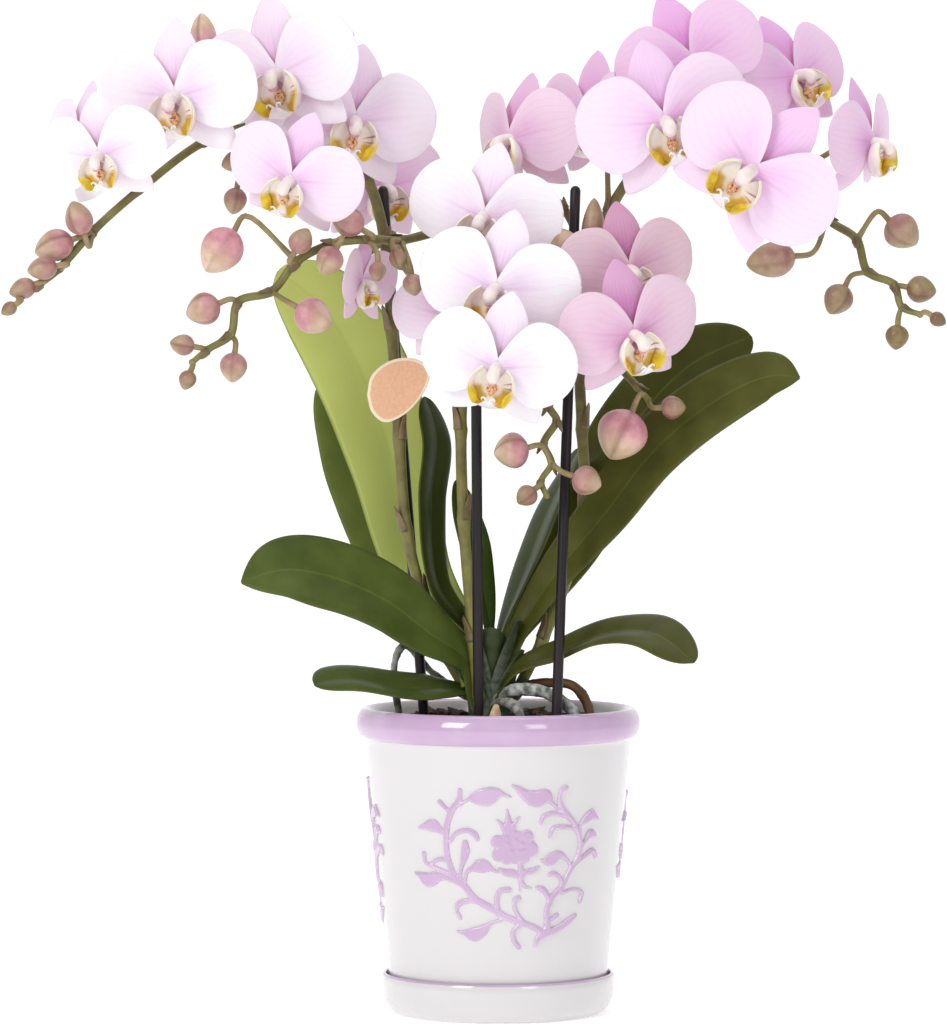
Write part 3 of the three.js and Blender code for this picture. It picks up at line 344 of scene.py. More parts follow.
FRUIT_LOBES = [
    [(-0.5, -2, 6.6)], [(-6.5, -5, 2.8)], [(6, -3, 3.2)], [(-3.5, -6.5, 2.3)], [(3.5, -6, 2.5)],
    [(4.5, 2, 2.7)], [(-7, 0, 2.7)],
    [(-3, 3, 1.8), (-3, 6.5, 1.6), (-3, 9, 1.1), (-3.5, 13, 0.3)],
    [(-4, 4.5, 1.2), (-5.5, 7, 0.8), (-7.5, 9, 0.3)],
    [(-1.5, 4.5, 1.2), (-0.5, 7.5, 0.8), (1.5, 10, 0.3)],
]
FRUIT_SEEDS = [(-3, -1), (0, 0.5), (2.6, -1), (-1.6, -3.8), (1.4, -4), (-3.4, 1.8), (3.2, -3.6)]
WALL_FOOT, WALL_SHOULDER = (44, 14), (54, 111)  # radius, height
WREATHS = 3
WREATH_TURN = math.radians(7.5)
WREATH_Z = 73
RELIEF_HEIGHT = 1.2
RELIEF_ROUND = 1.0  # width of the rounded edge
RELIEF_BACK = -1.5  # how deep in the wall the pressed clay starts
RELIEF_FALL = 1.4  # how steeply the clay goes on down, inside the wall
RELIEF_SUNK = -0.9  # where it ends there
RELIEF_CUT = -0.45  # the mesh ends at this depth
RELIEF_STEP = 0.4
RELIEF_BLEND = 0.3  # how softly one stroke grows out of another
SEED_HEIGHT = 0.35
SEED_SPREAD = 0.8
SHOULDER = 0.7  # the height where the glaze runs thin and a highlight is painted
SHOULDER_WIDTH = 0.45


def pot_radius(z):
    """Radius of the pot's outer wall at a height, on the straight line between its foot and its shoulder."""
    (foot, foot_z), (shoulder, shoulder_z) = WALL_FOOT, WALL_SHOULDER
    return foot + (z - foot_z) / (shoulder_z - foot_z) * (shoulder - foot)


def stroke_depth(stroke, s, up):
    """How far inside a stroke each place is: the half width there less the distance from its middle line."""
    line = smooth_line(stroke, 4) if len(stroke) > 1 else np.array([stroke[0], stroke[0]], float)
    depth = np.full(s.shape, -1e3)
    for (ax, ay, ar), (bx, by, br) in zip(line, line[1:]):
        dx, dy = bx - ax, by - ay
        t = np.clip(((s - ax) * dx + (up - ay) * dy) / (dx * dx + dy * dy + 1e-9), 0, 1)
        depth = np.maximum(depth, ar + t * (br - ar) - np.hypot(s - ax - t * dx, up - ay - t * dy))
    return depth


def pillow(depth):
    """Height of pressed clay over the wall: a quarter round from the outline up to a flat top."""
    raised = RELIEF_HEIGHT * np.sqrt(1 - (1 - np.clip(depth / RELIEF_ROUND, 0, 1)) ** 2)
    return np.where(depth > 0, raised, np.maximum(RELIEF_FALL * depth, RELIEF_SUNK))


s, up = np.meshgrid(np.arange(-46, 41, RELIEF_STEP), np.arange(-45, 26, RELIEF_STEP))
vine_depth = RELIEF_BLEND * np.log(sum(np.exp(stroke_depth(w, s, up) / RELIEF_BLEND) for w in WREATH))
relief = pillow(vine_depth)
for lobe in FRUIT_LOBES:
    relief = np.maximum(relief, pillow(stroke_depth(lobe, s, up)))
for x, y in FRUIT_SEEDS:
    relief = relief + SEED_HEIGHT * np.exp(-((s - x) ** 2 + (up - y) ** 2) / SEED_SPREAD)
inside = relief > RELIEF_CUT
cells = inside[:-1, :-1] & inside[1:, :-1] & inside[:-1, 1:] & inside[1:, 1:]
for _ in range(4):  # two cells that touch only at a corner get a third between them
    crossed = cells[:-1, :-1] & cells[1:, 1:] & ~cells[1:, :-1] & ~cells[:-1, 1:]
    cells[1:, :-1] |= crossed
    crossed = cells[1:, :-1] & cells[:-1, 1:] & ~cells[:-1, :-1] & ~cells[1:, 1:]
    cells[:-1, :-1] |= crossed
front_quads = grid_faces(*s.shape)[cells.ravel()]
relief_quads = [front_quads, front_quads[:, ::-1] + s.size]
for step, side in [((-1, 0), (0, 1)), ((0, 1), (1, 2)), ((1, 0), (2, 3)), ((0, -1), (3, 0))]:
    beside = np.roll(np.pad(cells, 1), (-step[0], -step[1]), axis=(0, 1))[1:-1, 1:-1]
    a, b = front_quads[~beside[cells]][:, side].T
    relief_quads.append(np.stack([b, a, a + s.size, b + s.size], axis=1))
used, relief_quads = np.unique(np.concatenate(relief_quads), return_inverse=True)
relief_quads = relief_quads.reshape(-1, 4)
lilac = np.clip(relief / SHOULDER + 0.2, 0, 1)
# the band along the relief's rounded edge that is painted whiter: thinner glaze there, and a painted
# highlight
edge = np.clip(1 - np.abs(relief - SHOULDER) / SHOULDER_WIDTH, 0, 1)
clay = {"lilac": np.stack([lilac, np.ones_like(s)]).ravel()[used],
        "edge": np.stack([edge, np.zeros_like(s)]).ravel()[used]}
for i in range(WREATHS):
    angle = WREATH_TURN + 2 * math.pi / WREATHS * i + s / pot_radius(WREATH_Z)
    radius = pot_radius(WREATH_Z + up) + np.stack([relief, np.full(s.shape, RELIEF_BACK)])
    layers = [radius * np.sin(angle), -radius * np.cos(angle), WREATH_Z + up + 0 * radius]
    wreath = (np.stack(layers, axis=-1).reshape(-1, 3)[used], relief_quads, clay)
    make_piece(f"pot_relief_{i + 1}", "pot", [wreath], [glaze])

# The saucer: the same stoneware and glaze, turned with a flat foot and a low upright wall, and with a thin
# lilac line on its lip. The pot stands loose on its floor.
SAUCER_PROFILE = [
    (0, 0, 0), (20, 0, 0), (41.4, 0, 0), (43, 0.7, 0), (45.3, 3, 0), (46.6, 6.4, 0), (47.1, 10, 0),
    (47.2, 13, 0), (46.9, 14.9, 0), (46.5, 15.7, 1), (46, 16, 1), (45.5, 15.8, 0.6), (45.3, 15, 0),
    (45.1, 11, 0), (44.6, 8, 0), (43.4, 5.6, 0), (41.5, 4.6, 0), (30, 4.5, 0), (0, 4.5, 0),
]
SAUCER_COLUMNS = 128
saucer_line = smooth_line(SAUCER_PROFILE, 3)
saucer_line[:, 1] = np.maximum(saucer_line[:, 1], 0)  # the curve would dip under the table at the foot's edge
saucer_shape = lathe(saucer_line, SAUCER_COLUMNS, {"lilac": np.clip(saucer_line[:, 2:], 0, 1)})
make_piece("saucer_dish", "saucer", [saucer_shape], [glaze])


# The growing bed: conifer bark in dark irregular chips. Most of it is one mass, packed down so that its side
# follows the pot, and loose chips lie over its top.
def uneven(count, seed, low=0.0, high=1.0):
    """Random numbers, the same ones each time for the same seed."""
    return np.random.default_rng(seed).uniform(low, high, count)


def rotation(axis, angle):
    """The matrix that turns about x (0), y (1) or z (2) by an angle, or one for each of many angles."""
    matrix = np.zeros((*np.shape(angle), 3, 3))
    j, k = (axis + 1) % 3, (axis + 2) % 3
    matrix[..., axis, axis] = 1
    matrix[..., j, j] = matrix[..., k, k] = np.cos(angle)
    matrix[..., k, j], matrix[..., j, k] = np.sin(angle), -np.sin(angle)
    return matrix


BARK_TOP = 115
BED_COLUMNS = 96
CHIPS = 230
CHIP_HALVES = [(4, 9), (2.5, 5.5), (0.9, 2)]  # half length, width and thickness, least and most
CHIP_RING_SIZES = np.array([[0], [0.88], [1], [0.86], [0]])
CHIP_RING_HEIGHTS = np.array([[-1], [-1], [0.1], [1], [1]])
CHIP_SIDES = 10
CHIP_UNEVEN = 0.28
CHIP_TURNS = [(0, 6.3), (-0.5, 0.5), (-0.5, 0.5)]  # radians about z, x and y
CHIP_STEP = 2.4  # radians from one chip to the next, in a spiral from the middle outward
CHIP_REACH = 42.5
bark_skin = Paint("bark", {"Roughness": 0.92})
grain = bark_skin.noise(260, 4, (1, 1, 3))
dry = bark_skin.value("tone").blend("#33241B", "#7A5A41")
bark_skin.colour(grain.between(0.35, 0.7).blend("#1C1410", dry))
bark_skin.bump(grain, 0.0015, 0.8)
bed_profile = smooth_line(
    [(0, 10.4), (36.4, 10.4), (39.4, 12.4), (40.2, 17), (42.2, 37), (44.8, 64), (47.3, 91), (49.2, 110),
     (49, 112.6), (46, BARK_TOP), (30, BARK_TOP), (0, BARK_TOP)], 3)
bed = lathe(bed_profile, BED_COLUMNS, {"tone": 0.3})
around = np.linspace(0, 2 * math.pi, CHIP_SIDES + 1)
ring = 1 + CHIP_UNEVEN * uneven((CHIPS, len(CHIP_RING_SIZES), CHIP_SIDES + 1), 5, -1, 1)
ring[:, :, -1] = ring[:, :, 0]
ring = CHIP_RING_SIZES * ring
chip_points = np.stack([ring * np.cos(around), ring * np.sin(around), CHIP_RING_HEIGHTS + 0 * ring], axis=-1)
halves = np.stack([uneven(CHIPS, 1 + i, *span) for i, span in enumerate(CHIP_HALVES)], axis=1)
chip_points = chip_points * halves[:, None, None]
yaw, pitch, roll = (uneven(CHIPS, 10 + i, *span) for i, span in enumerate(CHIP_TURNS))
lies = rotation(2, yaw) @ rotation(0, pitch) @ rotation(1, roll)
chip_points = np.einsum("nij,nrcj->nrci", lies, chip_points)
spiral = CHIP_STEP * np.arange(CHIPS)
reach = CHIP_REACH * np.sqrt((np.arange(CHIPS) + 0.5) / CHIPS)
chip_height = uneven(CHIPS, 4, BARK_TOP - 1.5, BARK_TOP + 2.2)
chip_middles = np.stack([reach * np.cos(spiral), reach * np.sin(spiral), chip_height], axis=1)
chips = [grid_shape(points + middle, {"tone": tone})
         for points, middle, tone in zip(chip_points, chip_middles, uneven(CHIPS, 7))]
make_piece("bark_bed", "growing_bark", [bed, *chips], [bark_skin], sharp=35)


# The plant's short stem with its air roots, which have grown over the bark and down into it: firm, with a
# spongy silver coat that turns brown with age.
def unit(vectors):
    """The same directions with a length of one."""
    return vectors / np.linalg.norm(vectors, axis=-1)[..., None]


def cane(line, radius, sides, values=None):
    """A round stem along a line of points, closed by round ends.

    Each ring stands square to the line. Its first spoke is the one before it with the part along the
    line taken out, so the rings don't twist. Values are given along the line.
    """
    line = np.asarray(line, float)
    radius = np.broadcast_to(np.asarray(radius, float), len(line))
    way = unit(np.gradient(line, axis=0))
    round_off = np.radians([90, 60, 30])
    foot = line[0] - way[0] * radius[0] * np.sin(round_off)[:, None]
    tip = line[-1] + way[-1] * radius[-1] * np.sin(round_off[::-1])[:, None]
    centres = np.concatenate([foot, line, tip])
    reach = np.concatenate([radius[0] * np.cos(round_off), radius, radius[-1] * np.cos(round_off[::-1])])
    way = np.pad(way, ((3, 3), (0, 0)), mode="edge")
    spoke = np.cross(way[0], [0.31, 0.9, 0.3])
    spokes = []
    for w in way:
        spoke = unit(spoke - w * (spoke @ w))
        spokes.append(spoke)
    spokes = np.array(spokes)[:, None]
    other = np.cross(way[:, None], spokes)
    turn = np.linspace(0, 2 * math.pi, sides + 1)[None, :, None]
    points = centres[:, None] + reach[:, None, None] * (np.cos(turn) * spokes + np.sin(turn) * other)
    spread = {key: np.pad(np.broadcast_to(value, len(line)), 3, mode="edge")[:, None]
              for key, value in (values or {}).items()}
    return grid_shape(points, spread)


def blade(middle, half, values=None):
    """A closed thin shape from its middle surface, a grid of points, and half its thickness at each.

    Each face lies half the thickness off, along the cross product of the grid's two directions. The value
    "front" is 1 on the face that lies that way.
    """
    out = np.cross(np.gradient(middle, axis=0), np.gradient(middle, axis=1))
    out /= np.linalg.norm(out, axis=-1)[..., None] + 1e-12
    front, back = middle + out * half[..., None], middle - out * half[..., None]
    rows, columns = half.shape
    spread = {"front": np.r_[np.ones(columns), np.zeros(columns), 1]}
    for key, value in (values or {}).items():
        value = np.broadcast_to(value, half.shape)
        spread[key] = np.concatenate([value[:, ::-1], value, value[:, -1:]], axis=1)
    corners, quads, spread = grid_shape(np.concatenate([front[:, ::-1], back, front[:, -1:]], axis=1), spread)
    j = np.arange(columns - 1)
    cap = np.stack([columns - 2 - j, columns - 1 - j, columns + j, columns + 1 + j], axis=1)
    return corners, np.concatenate([quads, cap[:, ::-1], cap + (rows - 1) * (2 * columns + 1)]), spread


ROOTS = [  # radius, how brown, points
    (2.8, 0, [(-1, -3, 124), (4, -13, 130), (13, -16, 131), (21, -18, 129), (30, -22, 122), (32, -24, 106)]),
    (1.9, 0.9, [(0, -1, 120), (9, -3, 131), (20, -5, 133), (30, -8, 132), (36, -13, 124), (37, -15, 106)]),
    (1.5, 0.15, [(-5, 3, 124), (-16, 14, 128), (-27, 18, 136), (-38, 13, 147), (-42, 8, 140), (-38, 5, 106)]),
    (2, 0.3, [(-4, -2, 122), (2, -16, 126), (8, -27, 123), (10, -31, 106)]),
]
ROOT_TIPS = [  # young ones, still short: radius, foot, tip
    (2.6, (-2, -33, 115), (-1, -32, 125)), (2.1, (6, -34, 115), (7, -33, 120)),
]
ROOT_TIP_TAPER = np.array([0.9, 1, 1, 0.95, 0.8, 0.5])
ROOT_SIDES = 14
CROWN_LINE = [(-3, 0, 92), (-3, 0, 110), (-3, 0, 122), (-3, 0, 136), (-3, 0, 149)]
CROWN_RADIUS = 6
GREEN_FROM = 117  # the stem is brown below this height and green above
SHEATHS = 6
SHEATH_WRAP = 105  # degrees to each side
SHEATH_THICKNESS = 0.9
root_skin = Paint("root", {"Roughness": 0.6})
blotch = root_skin.noise(320, 4)
mottled = blotch.between(0.35, 0.65)
old = (root_skin.value("brown") + blotch * 0.6).between(0.4, 1.1)
bare = old.blend(mottled.blend("#62655E", "#C4C6C1"), "#6B4A2C")
bare = root_skin.value("fresh").blend(bare, mottled.blend("#E0D0A8", "#C99E84"))
root_skin.colour(root_skin.value("leafy").blend(bare, "#2F3F12"))
root_skin.bump(root_skin.noise(500, 3), 0.0005, 0.6)


def sheath(number):
    """The base of an old leaf round the stem: rows of arcs that climb, lean outward and get shorter.

    The bases lie right and left by turns, each a little tighter and taller than the one before it.
    """
    hand = -1 if number % 2 else 1
    t = np.linspace(0, 1, 14)[:, None]
    wrap = np.radians(np.linspace(-SHEATH_WRAP, SHEATH_WRAP, 21)) * (1 - 0.5 * t**2)
    reach = 8.4 - 0.35 * number
    lean = (9.5 - 0.6 * number) * t**1.6
    height = GREEN_FROM + 1.5 * number + (17 + 4.5 * number) * t
    x = CROWN_LINE[0][0] + hand * (lean + reach * np.cos(wrap) * (1 - 0.35 * t))
    middle = np.stack([x, reach * np.sin(wrap), height + 0 * wrap], axis=-1)
    thick = SHEATH_THICKNESS * (1 - 0.6 * t) * np.cos(wrap / 1.6) + 0.15
    return blade(middle[:, ::hand], thick, {"leafy": 0.72 + 0.28 * t})


crown_line = smooth_line(CROWN_LINE, 6)
crown_radius = CROWN_RADIUS * (1 + 0.05 * np.sin(np.arange(len(crown_line)) * 1.9))
greening = np.clip((crown_line[:, 2] - GREEN_FROM) / 8, 0, 1)
root_shapes = [cane(crown_line, crown_radius, 24, {"brown": 0.7, "leafy": greening})]
root_shapes += [sheath(number) for number in range(SHEATHS)]
for number, (radius, age, points) in enumerate(ROOTS):
    line = smooth_line(points, 12)
    lumps = np.convolve(uneven(len(line) + 4, 40 + number, -1, 1), np.ones(5) / 5, "valid")
    root_shapes.append(cane(line, radius * (1 + 0.35 * lumps), ROOT_SIDES, {"brown": age}))
for radius, foot, tip in ROOT_TIPS:
    line = np.linspace(foot, tip, len(ROOT_TIP_TAPER))
    root_shapes.append(cane(line, radius * ROOT_TIP_TAPER, ROOT_SIDES, {"fresh": 1.0}))
make_piece("crown_roots", "crown_and_roots", root_shapes, [root_skin])

# The stakes: straight drawn rods with a dark semi-gloss coat and rounded ends. They are pushed into the bark
# down to the pot's lower half, and the spikes stand beside them.
STAKE_RADIUS = 2.1
STAKE_FOOT = 46
STAKES = {
    "left": ((-47, 22, 334), (-30, 9, 118)),
    "middle": ((-9, -24, 262), (-8, -24, 118)),
    "right": ((31, -6, 333), (23, -27, 118)),
}
coat = Paint("stake", {"Roughness": 0.4, "Specular IOR Level": 0.35})
streaks = coat.noise(120, 3, (1, 1, 0.05))
coat.colour(streaks.between(0.3, 0.7).blend("#171214", "#2B2124"))
coat.bump(streaks, 0.0003, 0.4)
for name, (top, low) in STAKES.items():
    top, low = np.array(top, float), np.array(low, float)
    foot = low + (top - low) * (STAKE_FOOT - low[2]) / (top[2] - low[2])
    end = unit(top - foot) * STAKE_RADIUS
    rod = cane(np.linspace(foot + end, top - end, 30), STAKE_RADIUS, 20)
    make_piece(f"stake_rod_{name}", f"stake_{name}", [rod], [coat])

# The tag: a pebble-shaped card, die-cut and uncoated, peach with a cream edge, hung on the left spike by
# a loop of thin card strip.
TAG_OUTLINE = [
    (-13, -2), (-11, 6), (-3, 12), (7, 12.5), (12.5, 8), (10, -1), (2, -10), (-6, -13), (-11, -9), (-13, -2),
]
TAG_PLACE = (-40, 0.1, 251)
TAG_TURN = math.radians(-4)
TAG_PROFILE = [  # share of the outline, side
    (0, -0.5), (0.5, -0.5), (0.8, -0.5), (0.9, -0.5), (0.95, -0.5), (0.985, -0.48), (1, -0.36),
    (1, 0.36), (0.985, 0.48), (0.8, 0.5), (0, 0.5),
]
LOOP_PLACE = (-41.9, 4.2, 259)
LOOP_PROFILE = [(3, -0.9), (4, -0.9), (4, 0.9), (3, 0.9), (3, -0.9)]  # radius, height
card_skin = Paint("card", {"Roughness": 0.85})
fibres = card_skin.noise(900, 4).between(0.3, 0.7)
peach = fibres.blend("#E9B58E", "#F0C09B")
card_skin.colour(card_skin.value("edge").between(0.9, 0.915).blend(peach, "#F6E6CB"))
card_skin.bump(fibres, 0.0001, 0.3)
outline = smooth_line(TAG_OUTLINE, 8)[::-1]
share, side = np.array(TAG_PROFILE).T
card_x = share[:, None] * outline[:, 0]
card_z = share[:, None] * outline[:, 1]
card_y = side[:, None] + 0 * card_x
card_points = np.stack([card_x, card_y, card_z], axis=-1) @ rotation(2, TAG_TURN).T + TAG_PLACE
card = grid_shape(card_points, {"edge": share[:, None]})
loop_corners, loop_quads, loop_values = lathe(LOOP_PROFILE, 32, {"edge": 1.0})
loop = (loop_corners + LOOP_PLACE, loop_quads, loop_values)
make_piece("tag_card", "tag", [card, loop], [card_skin], sharp=40)


# The leaves: thick, leathery and waxy, in two rows to the left and the right. Each is folded along its
# midrib, most where it clasps the plant's stem. Old ones are olive. The tall one at the left is painted
# pale for the light that shines through it, and each leaf's lightness is partly painted light and shade.
LEAVES = {  # greatest width, way it faces, how light (its own tone and painted light and shade), how olive, how sharp its tip, the midrib outward
    "front_left": (37, (0.1, -0.75, 0.66), 0.2, 0, 0.85, [
        (-12, -7, 141), (-28, -12, 153), (-45, -18, 166), (-67, -26, 176), (-85, -32, 179),
        (-102, -38, 175)]),
    "tall_left": (40, (0.25, -0.95, -0.1), 0.95, 0, 0.5, [
        (-13, 11, 148), (-33, 29, 178), (-44, 35, 222), (-56, 38, 257), (-72, 41, 284), (-90, 40, 300)]),
    "back_left": (23, (0.2, -0.95, 0), 0.32, 0, 0.5, [
        (-8, 17, 144), (-42, 41, 172), (-59, 49, 212), (-65, 52, 236), (-71, 54, 256)]),
    "inner_left": (22, (0.85, -0.5, 0.1), 0.0, 0.4, 0.5, [
        (-11, 4, 152), (-25, 5, 172), (-28, 9, 206), (-26, 11, 231), (-30, 14, 248)]),
    "inner_middle": (15, (0.6, -0.8, 0.2), 0.08, 0, 0.5, [
        (-4, 11, 155), (-7, 16, 172), (-11, 21, 192), (-17, 25, 214)]),
    "low_left": (28, (0, -0.4, 0.92), 0.2, 0, 0.5, [
        (-12, -1, 128), (-24, -8, 130), (-40, -16, 131), (-59, -26, 135), (-73, -34, 134)]),
    "big_right": (31, (-0.45, -0.75, 0.5), 0.17, 0.9, 0.85, [
        (9, 3, 154), (25, 2, 178), (43, -2, 200), (63, -6, 226), (87, -12, 246), (108, -18, 256),
        (120, -24, 256)]),
    "back_right": (34, (-0.4, -0.85, 0.3), 0.13, 0.7, 0.5, [
        (5, 20, 148), (32, 41, 186), (54, 49, 232), (79, 53, 260), (105, 54, 273)]),
    "low_right": (28, (-0.1, -0.35, 0.93), 0.15, 0.8, 0.5, [
        (6, -9, 137), (25, -8, 145), (45, -14, 153), (62, -25, 153), (77, -36, 143)]),
    "inner_right": (26, (-0.92, -0.35, 0.2), 0.06, 0.3, 0.5, [
        (2, 14, 152), (11, 23, 174), (22, 31, 202), (34, 38, 227)]),
}
LEAF_THICKNESS = 2
LEAF_ROWS = 56
LEAF_COLUMNS = 19
SHEATH_ROWS = 8
SHEATH_SHARE = 0.16  # length of a leaf's clasping base, as a share of the leaf's own
BROADEST = 0.6  # share of the way along
NECK = 0.34  # width of the neck, as a share of the greatest
FOLD, FOLD_AT_STEM = 0.3, 0.5
WAVE_HEIGHT, RIPPLE_HEIGHT = 0.5, 0.35
LINE_STEPS = 40
leaf_skin = Paint("leaf", {"Roughness": 0.42, "Specular IOR Level": 0.12, "Coat Weight": 0.05,
                           "Coat Roughness": 0.1})
across, fleck = leaf_skin.value("across"), leaf_skin.noise(60, 4)
away = across.math("ABSOLUTE")
# Each leaf's lightness is partly its own tone and partly painted light and shade; the tall leaf at the left
# is painted pale for the light that shines through it.
lightness = leaf_skin.value("light") + (fleck - 0.5) * 0.2
deep = leaf_skin.value("olive").blend("#283C05", "#3B3807")
lamina = lightness.between(0.0, 1.0).blend(deep, "#C0CC70")
lines = (across * 62.0).math("SINE")
veined = (lines.between(0.2, 1.0) * 0.012).blend(lamina, "#93AA58")
ribbed = (away.between(0.06, 0.0) * 0.14).blend(veined, "#8FA650")
upper = (away.between(0.93, 1.0) * 0.5).blend(ribbed, "#5E5A2E")
under = fleck.between(0.3, 0.7).blend("#4C5E2A", "#64763A")
leaf_skin.colour(leaf_skin.value("front").blend(upper, under))  # a leaf's grid has its underside in front
leaf_skin.bump(lines * 0.03 + leaf_skin.noise(180, 3), 0.0003, 0.35)


def leaf(number, width, face, sharp, points):
    """A leaf on its midrib, widest past its middle, which narrows to a neck and to a rounded tip.

    The midrib is a smooth curve that starts at the plant's stem, in the clasping base, where u is below 0.
    The two halves rise from it as a fold that flattens towards the tip, droop at their edges and wave a
    little. The blade is thickest at its midrib.
    """
    start = np.array(points[0], float)
    stem_x = CROWN_LINE[0][0]
    clasp = np.array([stem_x + 0.3 * (start[0] - stem_x), 0.3 * start[1], max(start[2] - 17, 119)])
    fine = smooth_line([clasp, *points], LINE_STEPS)
    step = 1 - (1 - np.linspace(0, 1, LEAF_ROWS)) ** 1.35
    u = np.concatenate([np.linspace(-SHEATH_SHARE, 0, SHEATH_ROWS, endpoint=False), step])
    place = np.where(u < 0, 1 + u / SHEATH_SHARE, 1 + u * (len(points) - 1)) * LINE_STEPS
    line = np.stack([np.interp(place, np.arange(len(fine)), fine[:, k]) for k in range(3)], axis=1)
    way = unit(np.gradient(line, axis=0))
    side = unit(np.cross(way, unit(np.array(face))))
    up = np.cross(side, way)
    u = u[:, None]
    neck = NECK + (1 - NECK) * np.sin(math.pi / 2 * np.clip(u / BROADEST, 0, 1)) + np.clip(-u, 0, 1)
    tip = np.clip(1 - (np.clip(u - BROADEST, 0, 1) / (1 - BROADEST)) ** 2.4, 0, 1) ** sharp
    half = width / 2 * neck * np.maximum(tip, 0.03)
    s = np.linspace(-1, 1, LEAF_COLUMNS)
    fold = np.where(u < 0, FOLD + FOLD_AT_STEM * np.clip(-u / SHEATH_SHARE, 0, 1), FOLD - 0.18 * u)
    wave = WAVE_HEIGHT * np.sin(9 * u + 2.2 * number) * np.sign(s) * s**2
    wave = (wave + RIPPLE_HEIGHT * np.sin(17 * u + number) * s**2) * np.clip(u, 0, 1)
    lift = half * (fold * (np.sqrt(s**2 + 0.004) - 0.06) - 0.05 * s**4) + wave
    middle = line[:, None] + side[:, None] * (half * s)[..., None] + up[:, None] * lift[..., None]
    thinner = np.where(u > 0.9, 1 - (u - 0.9) * 6, 1)
    return middle, np.maximum(LEAF_THICKNESS / 2 * (0.28 + 0.72 * (1 - np.abs(s) ** 3)) * thinner, 0.2)


for number, (name, (width, face, light, olive, sharp, points)) in enumerate(LEAVES.items()):
    values = {"across": np.linspace(-1, 1, LEAF_COLUMNS), "light": light, "olive": olive}
    grown = blade(*leaf(number, width, face, sharp, points), values)
    make_piece(f"leaf_blade_{name}", f"leaf_{name}", [grown], [leaf_skin])

# The blooms: three sepals behind two broad overlapping petals, all soft and matt, white to pale lilac with
# a deeper middle. In front of them stand the short hooded column and the waxy lip, an open striped cup
# with a yellow rim, a narrow white front lobe and two curled whiskers.
BLOOMS = {  # middle, (turn, tilt, roll), size, degrees its petals lean back, how pink, (stem, node), bends
    "left_1": ((-157, -48, 343), (-15, -12, -8), 0.86, 14, 0.06, ("left", 11)),
    "left_2": ((-128, -32, 367), (-18, -6, -4), 1.06, 8, 0.1, ("left", 10)),
    "left_3": ((-88, -14, 377), (-22, -5, -12), 1.12, 4, 0.14, ("left", 9)),
    "left_4": ((-58, -1, 359), (8, -5, 8), 1.06, 6, 0.2, ("left", 8)),
    "left_5": ((-82, -42, 334), (-20, -18, 21), 0.92, 12, 0.4, ("left", 9), (-90, 3, 349), (-84, -28, 339)),
    "left_6": ((-47, 32, 334), (28, -10, 0), 0.95, 8, 0.5, ("left", 6), (-36, 34, 298), (-44, 56, 318)),
    "left_7": ((-55, -16, 294), (60, -5, 0), 0.66, -12, 0.6, ("left", 6)),
    "left_8": ((-169, 1, 354), (-50, 5, 0), 0.76, 5, 0.25, ("left", 11)),
    "middle_1": ((-6, -21, 320), (-12, -8, 12), 1, 6, 0.04, ("middle", 7)),
    "middle_2": ((-1, -42, 291), (-15, -8, 12), 1.06, 8, 0.03, ("middle", 6)),
    "middle_3": ((-1, -60, 260), (-8, -12, 12), 1, 10, 0.05, ("middle", 4), (-3, -18, 254)),
    "middle_4": ((-20, -10, 281), (-15, -5, 0), 0.74, 0, 0.35, ("middle", 5)),
    "right_1": ((5, 4, 352), (-45, -5, 0), 0.98, 22, 0.6, ("branch", 4)),
    "right_2": ((37, 10, 360), (-40, -5, 0), 0.95, 8, 0.6, ("right", 7)),
    "right_3": ((66, -36, 357), (4, -5, -16), 1.12, 4, 0.45, ("right", 8)),
    "right_4": ((99, -56, 337), (-14, -8, 48), 1.16, 6, 0.5, ("right", 11)),
    "right_5": ((78, -10, 383), (8, 4, -24), 1, 6, 0.75, ("right", 9)),
    "right_6": ((121, 14, 378), (36, 10, -18), 0.95, 8, 0.75, ("right", 10)),
    "right_7": ((151, 8, 351), (60, -5, -10), 0.9, 12, 0.7, ("right", 11)),
    "low_1": ((52, -22, 299), (18, -5, -8), 0.92, 8, 1.0, ("right", 6)),
    "low_2": ((53, -46, 273), (26, -14, -14), 1, 10, 0.85, ("right", 5)),
}
SHADED_BLOOMS = {  # how much painted shade a bloom has, as a dusty rose
    "low_1": 0.9, "low_2": 0.6, "right_1": 0.4, "right_2": 0.2, "right_7": 0.1, "left_7": 0.2,
}
TEPALS = [  # kind, way round the flower, length, width, where widest, claw's share, bulge to one side
    ("petal", 12, 32, 34, 0.56, 0.15, 0.9), ("petal", 168, 32, 34, 0.56, 0.15, -0.9),
    ("sepal", 90, 30, 18, 0.55, 0.2, 0), ("sepal", -48, 29, 17, 0.5, 0.15, 0),
    ("sepal", -132, 29, 17, 0.5, 0.15, 0),
]
FORMS = {  # rows, columns, how full, how pointed, height of the edge's waves, how far in front, rise, bow
    "petal": (30, 19, 2.3, 0.45, 0.55, 0.9, 0.1, 0.12), "sepal": (22, 13, 1.9, 0.68, 0.3, -1.2, 0, 0.1),
}
UPRIGHT = 90
TEPAL_THICKNESS = 0.64
CREASE_DEPTH, CREASE_WIDTH = 0.55, 0.09
LIP_MIDDLE = -7.2
LIP_RADIUS = 8
LIP_HORN = 150  # degrees from the lip's bottom to each end of its wall
LIP_FLOOR = 2.4
LIP_TALL = 6.5
LIP_FLARE, LIP_ROLL, LIP_SWELL, LOBE_CURL = 1.8, 0.9, 2.6, 4.6  # how far each part goes out or in
LOBE_AT, LOBE_WIDTH = 0, 27  # degrees from the lip's bottom, as the next ones are
NOTCH_AT, NOTCH_WIDTH = 35, 6
SWELL_AT, SWELL_WIDTH = 62, 26
COLUMN_BACK = 2.2
COLUMN_LINE = [(0, 0.3, -COLUMN_BACK), (0, 0.2, 0.5), (0, 0, 4), (0, -0.6, 7), (0, -2, 8.8)]
